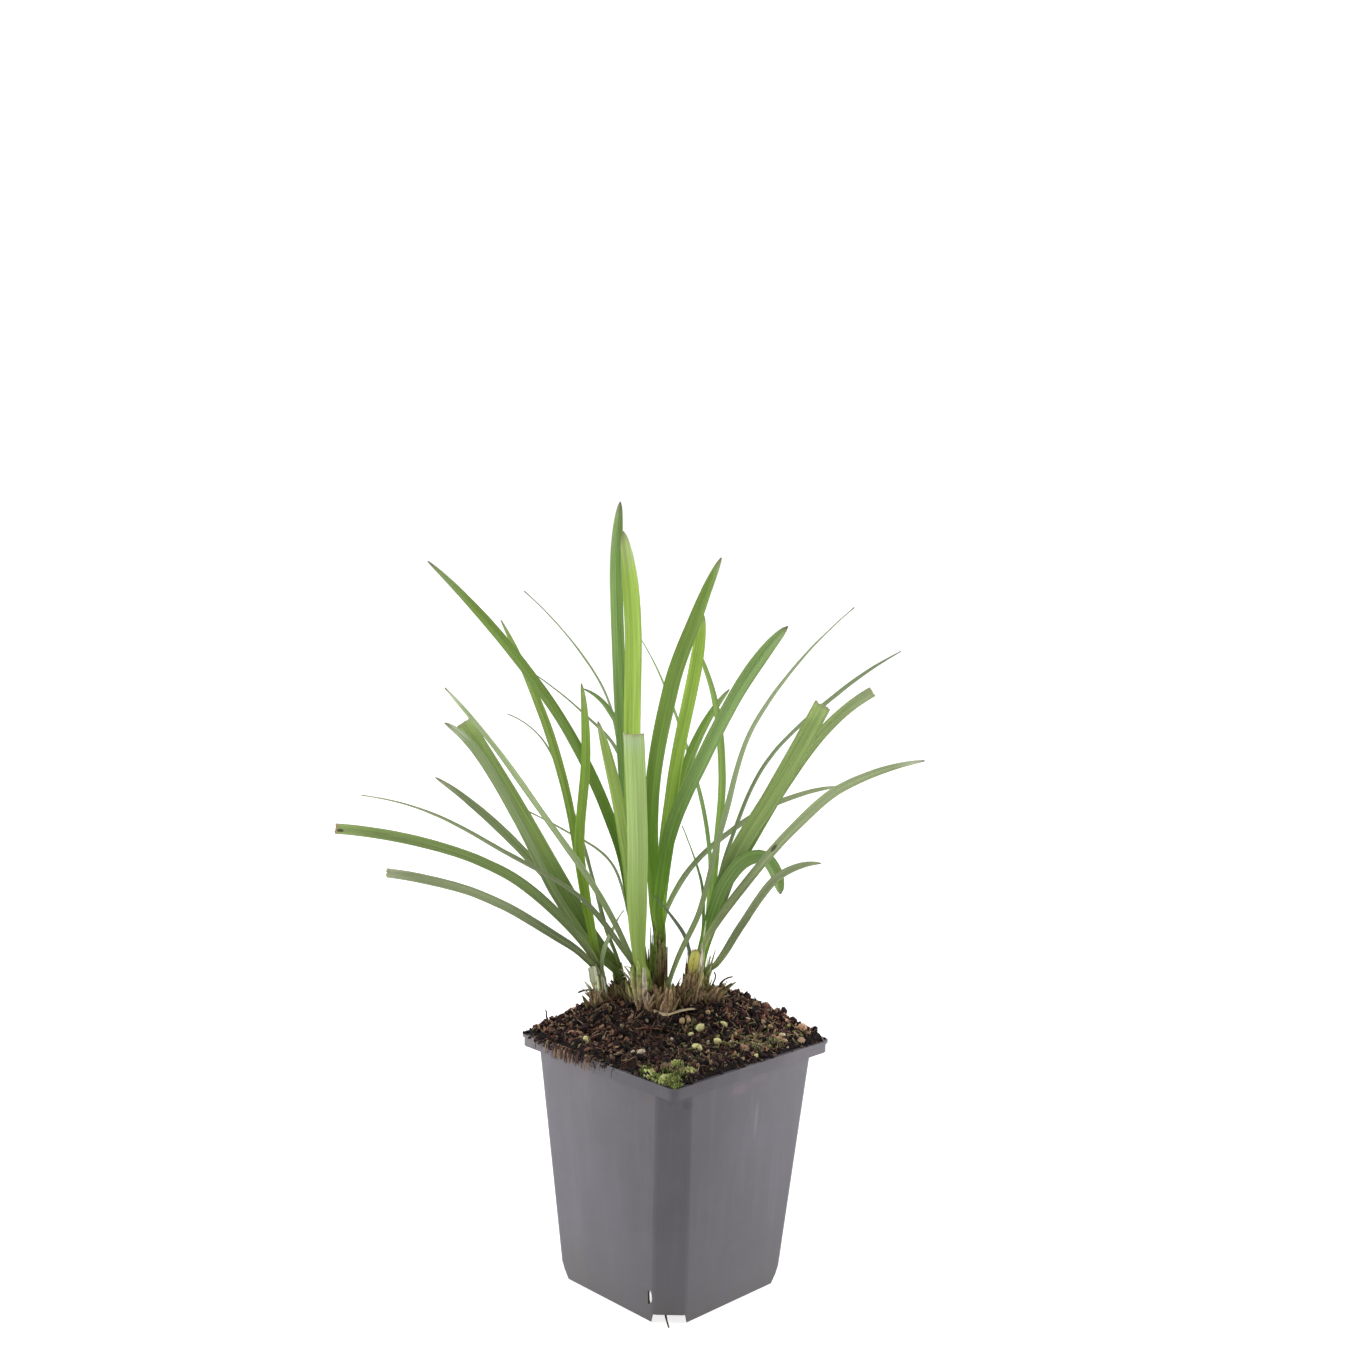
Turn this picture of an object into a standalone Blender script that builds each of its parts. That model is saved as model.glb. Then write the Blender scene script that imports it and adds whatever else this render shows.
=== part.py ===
"""A liriope in a square tapered nursery pot. Metres, +Z up, origin under the middle of the pot.

The pot's walls run along X and Y. The plant is laid out in a frame of its own, turned by 45
degrees, in which x runs to the right across the pot's diagonal and y away from its front corner.
Leaves were read against an upright ruler that stands on the pot's axis, so a way point is
(across, height) in millimetres on that ruler, and seen() moves it to its own depth.
"""
from collections import namedtuple
from math import exp, pi, radians, sin, sqrt

import bmesh
import bpy
from mathutils import Matrix, Vector
from mathutils.geometry import interpolate_bezier

MM = 0.001
GAP = 0.35 * MM
UP = Vector((0, 0, 1))

# Pot
POT_HEIGHT = 100 * MM
RIM_WIDTH = 90 * MM
RIM_BAND = 5 * MM
RIM_LIP = 1.2 * MM
RIM_LIP_REACH = 0.8 * MM
RIM_WALL = 1.1 * MM
RIM_CORNER = 4 * MM
RIM_LEDGE = 1.0 * MM
WALL_TOP_WIDTH = 85.6 * MM
FOOT_WIDTH = 70.2 * MM
WALL = 0.8 * MM
CHAMFER = 8.7 * MM
EDGE_SOFTNESS = 1.2 * MM
BASE_HEIGHT = 3.6 * MM
BASE_THICKNESS = 1.2 * MM
NOTCH_HEIGHT = 3.4 * MM
NOTCH_SPLAY = 1.0 * MM
SIDE_NOTCH_HEIGHT = 5.9 * MM
SIDE_NOTCH_SPLAY = 3.0 * MM
NOTCH_DEPTH = 8.0 * MM
DRAIN_RADIUS = 4.5 * MM
DRAIN_OFFSET = 25.5 * MM
MID_DRAIN_RADIUS = 3.0 * MM
SLIT_WIDTH = 0.9 * MM
SLIT_LOW = 7.2 * MM
SLIT_HIGH = 12.4 * MM
SLIT_SETBACK = 2.4 * MM
OVERSHOOT = 2.0 * MM

# Soil
SOIL_EDGE = 100.4 * MM
MOUND_RISE = 9.5 * MM
MOUND_AT = (1 * MM, 20 * MM)
MOUND_SPREAD = (46 * MM, 24 * MM)
LUMP = 0.5 * MM
LUMP_PITCH = 11 * MM
SOIL_CELLS = 18

# Plant
TURN = radians(45)
EYE_DISTANCE = 657.1 * MM
EYE_HEIGHT = 314.4 * MM
BLADE = 0.45 * MM
BLADE_ROWS = 11
BLADE_SPACING = 1.2 * MM
CROWN_SIDES = 10
CROWN_FOOT = 99 * MM
CROWN_NARROWING = 0.08
DEPTH_BEND = 1.25
TURN_RUN = 0.3
BASE_SHARE = 0.55
BASE_RUN = 0.35
WISP_FROM = 0.45
POINT_FROM = 0.62
BLUNT_FROM = 0.82
FOLD = 0.16
TIP_WIDTH = 0.5 * MM

WISP = "wisp"
POINTED = "pointed"
BLUNT = "blunt"
CUT = "cut"

Crown = namedtuple("Crown", "foot head size reach colour")
Leaf = namedtuple("Leaf", "crown across way tip_depth width turn tip colour")

PALE_GREEN = (0.42, 0.58, 0.20)
FRESH_GREEN = (0.22, 0.42, 0.08)
DARK_GREEN = (0.09, 0.20, 0.06)
GREY_GREEN = (0.33, 0.46, 0.25)
TAN = (0.42, 0.31, 0.20)
BROWN = (0.16, 0.10, 0.06)
STRAW = (0.60, 0.52, 0.34)
YELLOW = (0.58, 0.50, 0.14)
SOIL_BROWN = (0.035, 0.022, 0.016)
POT_GREY = (0.20, 0.20, 0.21)

# A crown is a stump of packed leaf bases: its foot (x, y), the middle of its flat top (x, y, z),
# the half sizes of its foot and the half size of its top across, all in millimetres.
CROWNS = {
    "left": Crown((-29, 20), (-31.8, 20, 116), (2.6, 5.6), 2.1, GREY_GREEN),
    "second": Crown((-21, 27), (-23.6, 27.5, 114.5), (3.0, 4.4), 2.3, BROWN),
    "centre": Crown((-9.5, 13), (-14.2, 15, 119), (4.2, 7.2), 3.4, TAN),
    "small": Crown((-3.5, 8), (-3.6, 8, 113.5), (1.7, 1.7), 1.3, BROWN),
    "middle": Crown((-6.6, 25), (-7.3, 25, 133), (3.0, 4.0), 2.2, BROWN),
    "right": Crown((7, 22), (8.5, 22, 120), (5.6, 8.2), 4.6, TAN),
}

# Leaves of each crown, from the front one to the back one.
LEAVES = (
    Leaf("left", 0.9, ((-29.5, 134), (-24.5, 147), (-21.8, 151.5)),
         15, 2.4, -40, WISP, DARK_GREEN),
    Leaf("left", -0.3, ((-38, 132.5), (-50, 140.5), (-70, 152), (-90, 159.5), (-117.5, 164.5)),
         -16, 4.2, 30, CUT, DARK_GREEN),
    Leaf("left", -0.2, ((-35, 133.5), (-50, 150.5), (-70, 165.5), (-100, 176.5), (-138, 182)),
         -2, 4.8, 30, CUT, FRESH_GREEN),
    Leaf("left", 0.2, ((-34, 140), (-38, 160), (-40.3, 178), (-38.3, 215), (-40.3, 243)),
         12, 4.4, 20, POINTED, FRESH_GREEN),
    Leaf("left", 0.0, ((-33.5, 135), (-39, 163), (-46, 199), (-55, 228), (-72.5, 267.5)),
         32, 4.4, 35, POINTED, DARK_GREEN),

    Leaf("second", -0.6, ((-34, 135), (-50, 158), (-66, 189), (-82, 215), (-94.5, 226)),
         22, 4.4, 30, BLUNT, GREY_GREEN),
    Leaf("second", 0.3, ((-30, 132.5), (-45, 158), (-65, 192), (-87, 226.5)),
         33, 7.0, 15, CUT, FRESH_GREEN),
    Leaf("second", 0.3, ((-29, 144), (-41, 185), (-54, 218), (-69.5, 230)),
         48, 2.6, 55, WISP, PALE_GREEN),
    Leaf("second", 0.0, ((-32, 139), (-45, 155), (-60, 171.5), (-80, 190.5), (-98, 204)),
         36, 4.6, 35, POINTED, GREY_GREEN),

    Leaf("centre", 1.8, ((-15, 130), (-16.5, 152), (-17, 180), (-18.5, 210), (-19.3, 223)),
         -24, 8.2, 172, CUT, GREY_GREEN),
    Leaf("centre", -2.2, ((-21.5, 138), (-34, 160.5), (-54.5, 189), (-75, 217), (-94.5, 240)),
         -18, 3.6, 50, POINTED, GREY_GREEN),
    Leaf("centre", -1.8, ((-22.5, 136), (-40, 156.5), (-70, 174), (-100, 189.5), (-127.5, 196)),
         -4, 3.4, 55, WISP, GREY_GREEN),
    Leaf("centre", -0.6, ((-16.5, 135), (-20, 165), (-25, 195), (-33.5, 228)),
         6, 5.4, 25, POINTED, PALE_GREEN),
    Leaf("centre", 1.0, ((-16, 145), (-18.2, 180), (-19.6, 225), (-20.2, 270), (-24.8, 303.5)),
         13, 7.0, -15, BLUNT, PALE_GREEN),
    Leaf("centre", 0.2, ((-17, 145), (-20.5, 180), (-24, 225), (-27.5, 285), (-26.2, 315)),
         22, 5.8, 20, BLUNT, FRESH_GREEN),
    Leaf("centre", -0.6, ((-17.5, 143), (-24.5, 178), (-43.5, 220), (-70, 257), (-101.5, 290)),
         28, 5.4, 35, POINTED, PALE_GREEN),
    Leaf("centre", -0.4, ((-17, 160), (-24.5, 213), (-40, 231.5), (-62, 248)),
         34, 3.2, 58, WISP, DARK_GREEN),
    Leaf("centre", 0.0, ((-16.5, 165), (-19.5, 212), (-30, 233.5), (-40, 241)),
         40, 3.8, 36, POINTED, DARK_GREEN),
    Leaf("centre", -0.4, ((-18, 165), (-28, 231), (-40, 254), (-63.5, 279)),
         60, 2.6, 60, WISP, GREY_GREEN),
    Leaf("centre", -1.0, ((-20, 150), (-28, 171.5), (-47, 184), (-68, 194)),
         56, 2.4, 62, WISP, GREY_GREEN),

    Leaf("small", 0.0, ((0, 131), (9, 152), (17.5, 188), (30, 230), (67, 275.5)),
         -14, 3.4, -50, WISP, PALE_GREEN),

    Leaf("middle", 0.3, ((-8.2, 152), (-3, 185), (10, 216), (25, 245.5), (41, 267.5)),
         2, 6.6, -25, BLUNT, DARK_GREEN),
    Leaf("middle", -0.8, ((-9.5, 155), (-11, 200), (-4.5, 242), (5, 271), (14, 294)),
         22, 6.8, -20, POINTED, FRESH_GREEN),
    Leaf("middle", 0.2, ((-7.2, 160), (-2, 210), (4.8, 250), (7.5, 271.5)),
         30, 5.6, -10, BLUNT, FRESH_GREEN),
    Leaf("middle", 0.6, ((-5.5, 165), (1, 205), (8, 225), (18.5, 242)),
         38, 5.0, -30, POINTED, PALE_GREEN),
    Leaf("middle", 1.0, ((-4.5, 152), (4, 168), (18, 182.5), (40, 197), (65, 204)),
         60, 3.4, -50, POINTED, GREY_GREEN),

    Leaf("right", -2.6, ((3.5, 139.5), (-2, 148.5), (-10, 158)),
         8, 2.6, 50, WISP, DARK_GREEN),
    Leaf("right", 0.6, ((12, 140.5), (25, 160.5), (45, 185.5), (65, 203.5), (97, 215)),
         -48, 4.2, -30, POINTED, DARK_GREEN),
    Leaf("right", 2.6, ((16, 130), (27, 148), (38, 164.5), (47, 170.5), (57, 172.5)),
         0, 4.0, -35, POINTED, FRESH_GREEN),
    Leaf("right", 1.6, ((15, 153), (23, 169.5), (32, 174.6), (37.5, 170.5), (41, 159.5)),
         14, 6.0, -20, BLUNT, DARK_GREEN),
    Leaf("right", 1.2, ((14.5, 150), (24, 177), (36, 198), (56, 236.5)),
         22, 7.6, -15, CUT, FRESH_GREEN),
    Leaf("right", 1.8, ((17, 157), (30, 183), (46, 211), (60, 229.5), (75.5, 242)),
         27, 5.2, -30, CUT, FRESH_GREEN),
    Leaf("right", 0.2, ((12, 142), (14.5, 178), (16, 208), (12, 239), (3, 261)),
         34, 4.2, 45, POINTED, FRESH_GREEN),
    Leaf("right", -1.8, ((9.6, 138), (9.5, 160), (6.5, 172), (0.8, 186.5)),
         27, 2.6, 60, WISP, DARK_GREEN),
    Leaf("right", 1.4, ((15, 155), (20, 178), (34, 212.5), (61, 240.5), (86, 258.5)),
         48, 3.2, -55, POINTED, GREY_GREEN),
    Leaf("right", -0.4, ((11.5, 145), (12, 174), (6.5, 203), (-7.5, 243), (-19, 264)),
         56, 3.2, 55, WISP, DARK_GREEN),
)

SHEATHS = {
    "sheath_left": Leaf("left", -1.4, ((-33.2, 122), (-34.2, 128)), 15.0, 3.6, 10, BLUNT, PALE_GREEN),
    "sheath_right": Leaf("right", -1.6, ((7.0, 129), (7.7, 136)), 14.2, 4.6, -5, POINTED, YELLOW),
    "bract_right": Leaf("right", -3.4, ((4.9, 126), (4.2, 130)), 18.4, 3.0, 20, POINTED, BROWN),
}

STRAW_WAY = ((-9, 4), (-4, 2.2), (2, 3.4), (8, 5.6))
STRAW_WIDTH = 2.4 * MM
STRAW_LIFT = 1.6 * MM
STRAW_TURN = -65
ROOT_WAY = ((-2.0, -37.0, 4.3), (-1.5, -40.2, 2.5), (-0.8, -45.0, 1.7), (0.0, -48.3, 0.8))
ROOT_RADIUS = 0.45 * MM


def clear_scene():
    for item in list(bpy.data.objects):
        bpy.data.objects.remove(item, do_unlink=True)


def new_collection(name):
    group = bpy.data.collections.new(name)
    bpy.context.scene.collection.children.link(group)
    return group


def material(name, colour, roughness):
    """One Principled material with a plain colour, reused by name."""
    found = bpy.data.materials.get(name)
    if found:
        return found
    made = bpy.data.materials.new(name)
    made.use_nodes = True
    shader = made.node_tree.nodes["Principled BSDF"]
    shader.inputs["Base Color"].default_value = (*colour, 1.0)
    shader.inputs["Roughness"].default_value = roughness
    shader.inputs["Metallic"].default_value = 0.0
    return made


def mesh_object(name, bm, group, finish=None):
    """Turn a bmesh into an object of the given collection."""
    mesh = bpy.data.meshes.new(name)
    bmesh.ops.recalc_face_normals(bm, faces=bm.faces)
    bm.to_mesh(mesh)
    bm.free()
    made = bpy.data.objects.new(name, mesh)
    group.objects.link(made)
    if finish:
        mesh.materials.append(finish)
    return made


def as_cutter(item):
    item.hide_render = True
    item.display_type = "WIRE"
    return item


def combine(target, other, operation):
    """An exact Boolean of two meshes, kept on the object as a modifier."""
    step = target.modifiers.new(operation.lower(), "BOOLEAN")
    step.operation = operation
    step.solver = "EXACT"
    step.object = other


# Pot


def width_at(height):
    """Outer width of the pot's flat walls at a height."""
    share = height / (POT_HEIGHT - RIM_BAND)
    return FOOT_WIDTH + (WALL_TOP_WIDTH - FOOT_WIDTH) * share


def tapered_block(name, low, high, inset, group, finish=None):
    """A block with the pot's taper and chamfers, its walls moved in by an inset."""
    bm = bmesh.new()
    bmesh.ops.create_cone(
        bm, cap_ends=True, segments=4, depth=high - low,
        radius1=(width_at(low) / 2 - inset) * sqrt(2),
        radius2=(width_at(high) / 2 - inset) * sqrt(2),
        matrix=Matrix.Translation((0, 0, (low + high) / 2)) @ Matrix.Rotation(pi / 4, 4, "Z"))
    corner = CHAMFER - inset * (2 - sqrt(2))
    bmesh.ops.bevel(bm, geom=upright_edges(bm), offset=corner, segments=1, affect="EDGES")
    bmesh.ops.bevel(bm, geom=upright_edges(bm), offset=EDGE_SOFTNESS, segments=2, profile=0.5,
                    affect="EDGES")
    return mesh_object(name, bm, group, finish)


def square_block(name, low, high, width, corner, group, finish=None):
    """An upright square block with round corners."""
    bm = bmesh.new()
    bmesh.ops.create_cube(bm, size=1.0)
    bmesh.ops.scale(bm, vec=(width, width, high - low), verts=bm.verts)
    bmesh.ops.translate(bm, vec=(0, 0, (low + high) / 2), verts=bm.verts)
    if corner:
        bmesh.ops.bevel(bm, geom=upright_edges(bm), offset=corner, segments=4, profile=0.5,
                        affect="EDGES")
    return mesh_object(name, bm, group, finish)


def upright_edges(bm):
    return [edge for edge in bm.edges
            if abs(edge.verts[0].co.z - edge.verts[1].co.z) > 0.6 * edge.calc_length()]


def small_box(name, centre, size, turn, cutters, splay=0.0):
    """A box turned about the pot's axis, its lower edges moved out sideways by a splay."""
    bm = bmesh.new()
    bmesh.ops.create_cube(bm, size=1.0, matrix=Matrix.Diagonal((*size, 1.0)))
    for vert in bm.verts:
        if vert.co.z < 0:
            vert.co.x *= 1 + 2 * splay / size[0]
    place = Matrix.Rotation(turn, 4, "Z") @ Matrix.Translation(centre)
    bmesh.ops.transform(bm, matrix=place, verts=bm.verts)
    return as_cutter(mesh_object(name, bm, cutters))


def drain_hole(name, centre, radius, cutters):
    bm = bmesh.new()
    bmesh.ops.create_cone(bm, cap_ends=True, segments=16, radius1=radius, radius2=radius,
                          depth=4 * BASE_THICKNESS, matrix=Matrix.Translation(centre))
    return as_cutter(mesh_object(name, bm, cutters))


def make_pot(parts, cutters):
    grey = material("pot_grey", POT_GREY, 0.45)
    wall_top = POT_HEIGHT - RIM_BAND + RIM_LEDGE / 2
    base_top = BASE_HEIGHT + BASE_THICKNESS
    pot = tapered_block("pot", 0.0, wall_top, 0.0, parts, grey)
    band_width = RIM_WIDTH - 2 * RIM_LIP_REACH
    band = square_block("rim_band", POT_HEIGHT - RIM_BAND, POT_HEIGHT - RIM_LIP / 2, band_width,
                        RIM_CORNER - RIM_LIP_REACH, cutters)
    lip = square_block("rim_lip", POT_HEIGHT - RIM_LIP, POT_HEIGHT, RIM_WIDTH, RIM_CORNER, cutters)
    for piece in (band, lip):
        combine(pot, as_cutter(piece), "UNION")
    inside = tapered_block("inside", base_top, POT_HEIGHT + OVERSHOOT, WALL, cutters)
    under = tapered_block("under_base", -OVERSHOOT, BASE_HEIGHT, WALL, cutters)
    mouth = square_block("mouth", POT_HEIGHT - RIM_BAND + RIM_LEDGE, POT_HEIGHT + OVERSHOOT,
                         band_width - 2 * RIM_WALL, RIM_CORNER - RIM_WALL, cutters)
    for hollow in (inside, under, mouth):
        combine(pot, as_cutter(hollow), "DIFFERENCE")
    cut_foot(pot, cutters)
    return pot


def cut_foot(pot, cutters):
    """Corner notches and drain holes, and the one slit beside the front corner."""
    corner_at = FOOT_WIDTH / sqrt(2) - CHAMFER / sqrt(2)
    notch_width = CHAMFER * sqrt(2)
    slit_across = width_at(SLIT_LOW) / 2 - CHAMFER - SLIT_SETBACK
    slit = small_box("slit", (slit_across, -width_at(SLIT_LOW) / 2, (SLIT_LOW + SLIT_HIGH) / 2),
                     (SLIT_WIDTH, 4 * WALL, SLIT_HIGH - SLIT_LOW), 0, cutters)
    combine(pot, slit, "DIFFERENCE")
    for index in range(4):
        turn = index * pi / 2
        height = SIDE_NOTCH_HEIGHT if index % 2 else NOTCH_HEIGHT
        splay = SIDE_NOTCH_SPLAY if index % 2 else NOTCH_SPLAY
        notch = small_box(f"notch_{index}", (0, -corner_at, height / 2 - OVERSHOOT / 2),
                          (notch_width, NOTCH_DEPTH, height + OVERSHOOT), turn + TURN,
                          cutters, splay)
        spot = Matrix.Rotation(turn, 4, "Z") @ Vector((DRAIN_OFFSET, -DRAIN_OFFSET, BASE_HEIGHT))
        side = Matrix.Rotation(turn, 4, "Z") @ Vector((0, -DRAIN_OFFSET, BASE_HEIGHT))
        corner_hole = drain_hole(f"corner_drain_{index}", spot, DRAIN_RADIUS, cutters)
        side_hole = drain_hole(f"side_drain_{index}", side, MID_DRAIN_RADIUS, cutters)
        for cutter in (notch, corner_hole, side_hole):
            combine(pot, cutter, "DIFFERENCE")


# Soil


def soil_height(x, y):
    """Height of the soil at a place in the plant's frame."""
    hill = exp(-abs((x - MOUND_AT[0]) / MOUND_SPREAD[0]) ** 3
               - abs((y - MOUND_AT[1]) / MOUND_SPREAD[1]) ** 3)
    lumps = sin(x / LUMP_PITCH * 2 * pi + 1) * sin(y / LUMP_PITCH * 2 * pi)
    return SOIL_EDGE + MOUND_RISE * hill + LUMP * lumps


def make_soil(parts, cutters, stumps):
    dark = material("soil_brown", SOIL_BROWN, 0.95)
    width = RIM_WIDTH - 2 * RIM_LIP_REACH - 2 * RIM_WALL - 2 * GAP
    floor = POT_HEIGHT - RIM_BAND + RIM_LEDGE + GAP
    bm = bmesh.new()
    bmesh.ops.create_grid(bm, x_segments=SOIL_CELLS, y_segments=SOIL_CELLS, size=width / 2 + MM)
    rim = [edge for edge in bm.edges if edge.is_boundary]
    for vert in bm.verts:
        spot = Matrix.Rotation(-TURN, 4, "Z") @ vert.co
        vert.co.z = soil_height(spot.x, spot.y)
    skirt = bmesh.ops.extrude_edge_only(bm, edges=rim)["geom"]
    for vert in skirt:
        if isinstance(vert, bmesh.types.BMVert):
            vert.co.z = floor
    bmesh.ops.holes_fill(bm, edges=[edge for edge in bm.edges if edge.is_boundary], sides=0)
    soil = mesh_object("soil", bm, parts, dark)
    outline = square_block("soil_outline", floor - OVERSHOOT, POT_HEIGHT + MOUND_RISE + OVERSHOOT,
                           width, RIM_CORNER - RIM_WALL - GAP, cutters)
    combine(soil, as_cutter(outline), "INTERSECT")
    ball = tapered_block("root_ball", BASE_HEIGHT + BASE_THICKNESS + GAP, floor + RIM_LEDGE,
                         WALL + GAP, cutters)
    combine(soil, as_cutter(ball), "UNION")
    for stump in stumps:
        combine(soil, stump, "DIFFERENCE")
    return soil


# Crowns


def crown_block(name, crown, grow, group, finish=None):
    """A stump between an oval foot and a flat oval top, moved out on all sides by grow."""
    low = CROWN_FOOT - grow
    high = crown.head[2] * MM + grow
    bm = bmesh.new()
    bmesh.ops.create_cone(bm, cap_ends=True, segments=CROWN_SIDES, radius1=1, radius2=1, depth=1)
    bmesh.ops.subdivide_edges(bm, edges=upright_edges(bm), cuts=1)
    foot = Vector((crown.foot[0] * MM, crown.foot[1] * MM))
    head = Vector((crown.head[0] * MM, crown.head[1] * MM))
    for vert in bm.verts:
        share = vert.co.z + 0.5
        middle = foot.lerp(head, share)
        reach_x = (crown.size[0] + (crown.reach - crown.size[0]) * share) * MM + grow
        reach_y = crown.size[1] * (1 - CROWN_NARROWING * share) * MM + grow
        vert.co = Vector((middle.x + vert.co.x * reach_x, middle.y + vert.co.y * reach_y,
                          low + (high - low) * share))
    return mesh_object(name, bm, group, finish)


def make_crown(name, crown, plant, parts, cutters):
    """The stump and the cutter that keeps the soil clear of it."""
    finish = material(f"crown_{name}", crown.colour, 0.8)
    stump = crown_block(f"crown_{name}", crown, 0.0, parts, finish)
    pocket = as_cutter(crown_block(f"pocket_{name}", crown, GAP, cutters))
    stump.parent = plant
    pocket.parent = plant
    return pocket


# Leaves


def seen(across, height, depth):
    """Move a reading on the upright ruler to its depth along the line of sight, in metres."""
    stretch = 1 + depth * MM / EYE_DISTANCE
    return Vector((across * MM * stretch, depth * MM,
                   EYE_HEIGHT + stretch * (height * MM - EYE_HEIGHT)))


def mirrored(direction, axis):
    return axis * (2 * direction.dot(axis)) - direction


def smooth_path(points, count, leave=None):
    """Evenly spaced points on a smooth curve that bends on to its ends as it does before them."""
    chords = [(there - here).normalized() for here, there in zip(points, points[1:])]
    middle = [(there - here).normalized() for here, there in zip(points, points[2:])]
    first = leave or mirrored(middle[0], chords[0])
    headings = [first] + middle + [mirrored(middle[-1], chords[-1])]
    fine = []
    for index in range(len(chords)):
        here, there = points[index], points[index + 1]
        pull = (there - here).length / 3
        fine += interpolate_bezier(here, here + headings[index] * pull,
                                   there - headings[index + 1] * pull, there, 12)[bool(index):]
    reach = [0.0]
    for here, there in zip(fine, fine[1:]):
        reach.append(reach[-1] + (there - here).length)
    return [point_on(fine, reach, reach[-1] * step / count) for step in range(count + 1)]


def point_on(fine, reach, distance):
    index = 1
    while index < len(fine) - 1 and reach[index] < distance:
        index += 1
    span = reach[index] - reach[index - 1]
    share = (distance - reach[index - 1]) / span
    return fine[index - 1].lerp(fine[index], share)


def leaf_points(leaf, start):
    """Way points from the crown to the tip, their depth growing evenly along the leaf."""
    ruler = [Vector(point) for point in leaf.way]
    first = Vector((start.x / MM, start.z / MM))
    lengths = [(here - there).length for here, there in zip([first] + ruler, ruler)]
    total = sum(lengths)
    run = 0.0
    points = [start]
    for reading, length in zip(ruler, lengths):
        run += length
        depth = start.y / MM + (leaf.tip_depth - start.y / MM) * (run / total) ** DEPTH_BEND
        points.append(seen(reading.x, reading.y, depth))
    return points


def width_share(share, tip):
    """Width of a blade along its length, as a share of its full width."""
    grown = min(1.0, share / BASE_RUN)
    body = BASE_SHARE + (1 - BASE_SHARE) * grown * grown * (3 - 2 * grown)
    if tip == CUT:
        return body
    begin = {WISP: WISP_FROM, POINTED: POINT_FROM, BLUNT: BLUNT_FROM}[tip]
    if share <= begin:
        return body
    close = (share - begin) / (1 - begin)
    if tip == WISP:
        return body * (1 - close ** 1.6)
    return body * sqrt(max(0.0, 1 - close ** 2.2))


def blade(name, points, width, turn, tip, parts, finish, leave=None):
    """A folded strap along a path: a grid reshaped row by row, then given its thickness."""
    rows = smooth_path(points, BLADE_ROWS, leave)
    bm = bmesh.new()
    bmesh.ops.create_grid(bm, x_segments=2, y_segments=BLADE_ROWS, size=0.5)
    eye = Vector((0, -EYE_DISTANCE, EYE_HEIGHT))
    for vert in bm.verts:
        side = round(vert.co.x * 2)
        row = round((vert.co.y + 0.5) * BLADE_ROWS)
        share = row / BLADE_ROWS
        here = rows[row]
        ahead = (rows[min(row + 1, BLADE_ROWS)] - rows[max(row - 1, 0)]).normalized()
        if leave and row == 0:
            ahead = leave
        facing = eye - here
        facing = (facing - ahead * facing.dot(ahead)).normalized()
        settled = min(1.0, share / TURN_RUN)
        back = 180 if abs(turn) > 90 else 0
        angle = radians((turn - back) * settled + back)
        normal = Matrix.Rotation(angle, 3, ahead) @ facing
        outward = ahead.cross(normal)
        half = max(width * width_share(share, tip), TIP_WIDTH) / 2
        vert.co = here + outward * half * side + normal * FOLD * 2 * half * abs(side)
    made = mesh_object(name, bm, parts, finish)
    thick = made.modifiers.new("thickness", "SOLIDIFY")
    thick.thickness = BLADE
    thick.offset = 0
    made.data.shade_smooth()
    return made


def crown_leaves():
    """Each leaf with its name and its starting point on top of its crown."""
    for key, crown in CROWNS.items():
        own = [leaf for leaf in LEAVES if leaf.crown == key]
        for index, leaf in enumerate(own):
            place = (index - (len(own) - 1) / 2) * BLADE_SPACING
            start = Vector((crown.head[0] + leaf.across, crown.head[1], crown.head[2])) * MM
            start += Vector((0, place, GAP + BLADE / 2))
            yield f"leaf_{key}_{index + 1}", leaf, start


def make_leaves(plant, parts):
    for name, leaf, start in crown_leaves():
        finish = material(name, leaf.colour, 0.4)
        made = blade(name, leaf_points(leaf, start), leaf.width * MM, leaf.turn, leaf.tip, parts,
                     finish, UP)
        made.parent = plant


def make_sheaths(plant, parts):
    """Short dead or pale sheaths in front of the leaves of their crown."""
    for name, sheath in SHEATHS.items():
        crown = CROWNS[sheath.crown]
        start = Vector((crown.head[0] + sheath.across, sheath.tip_depth + 0.4, crown.head[2])) * MM
        start.z += GAP + BLADE / 2
        finish = material(name, sheath.colour, 0.7)
        made = blade(name, leaf_points(sheath, start), sheath.width * MM, sheath.turn, sheath.tip,
                     parts, finish, UP)
        made.parent = plant


def make_straw(plant, parts):
    points = []
    for x, y in STRAW_WAY:
        points.append(Vector((x * MM, y * MM, soil_height(x * MM, y * MM) + STRAW_LIFT)))
    finish = material("straw", STRAW, 0.7)
    made = blade("straw", points, STRAW_WIDTH, STRAW_TURN, BLUNT, parts, finish)
    made.parent = plant


def make_root(plant, parts):
    curve = bpy.data.curves.new("root_tip", "CURVE")
    curve.dimensions = "3D"
    curve.bevel_depth = ROOT_RADIUS
    curve.bevel_resolution = 1
    curve.use_fill_caps = True
    line = curve.splines.new("POLY")
    line.points.add(len(ROOT_WAY) - 1)
    for point, place in zip(line.points, ROOT_WAY):
        point.co = (*(value * MM for value in place), 1.0)
    made = bpy.data.objects.new("root_tip", curve)
    parts.objects.link(made)
    curve.materials.append(material("root", BROWN, 0.8))
    made.parent = plant


def main():
    clear_scene()
    parts = new_collection("potted_liriope")
    cutters = new_collection("cutters")
    plant = bpy.data.objects.new("plant", None)
    parts.objects.link(plant)
    plant.rotation_euler.z = TURN
    make_pot(parts, cutters)
    pockets = [make_crown(name, crown, plant, parts, cutters) for name, crown in CROWNS.items()]
    make_soil(parts, cutters, pockets)
    make_leaves(plant, parts)
    make_sheaths(plant, parts)
    make_straw(plant, parts)
    make_root(plant, parts)


main()
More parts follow.
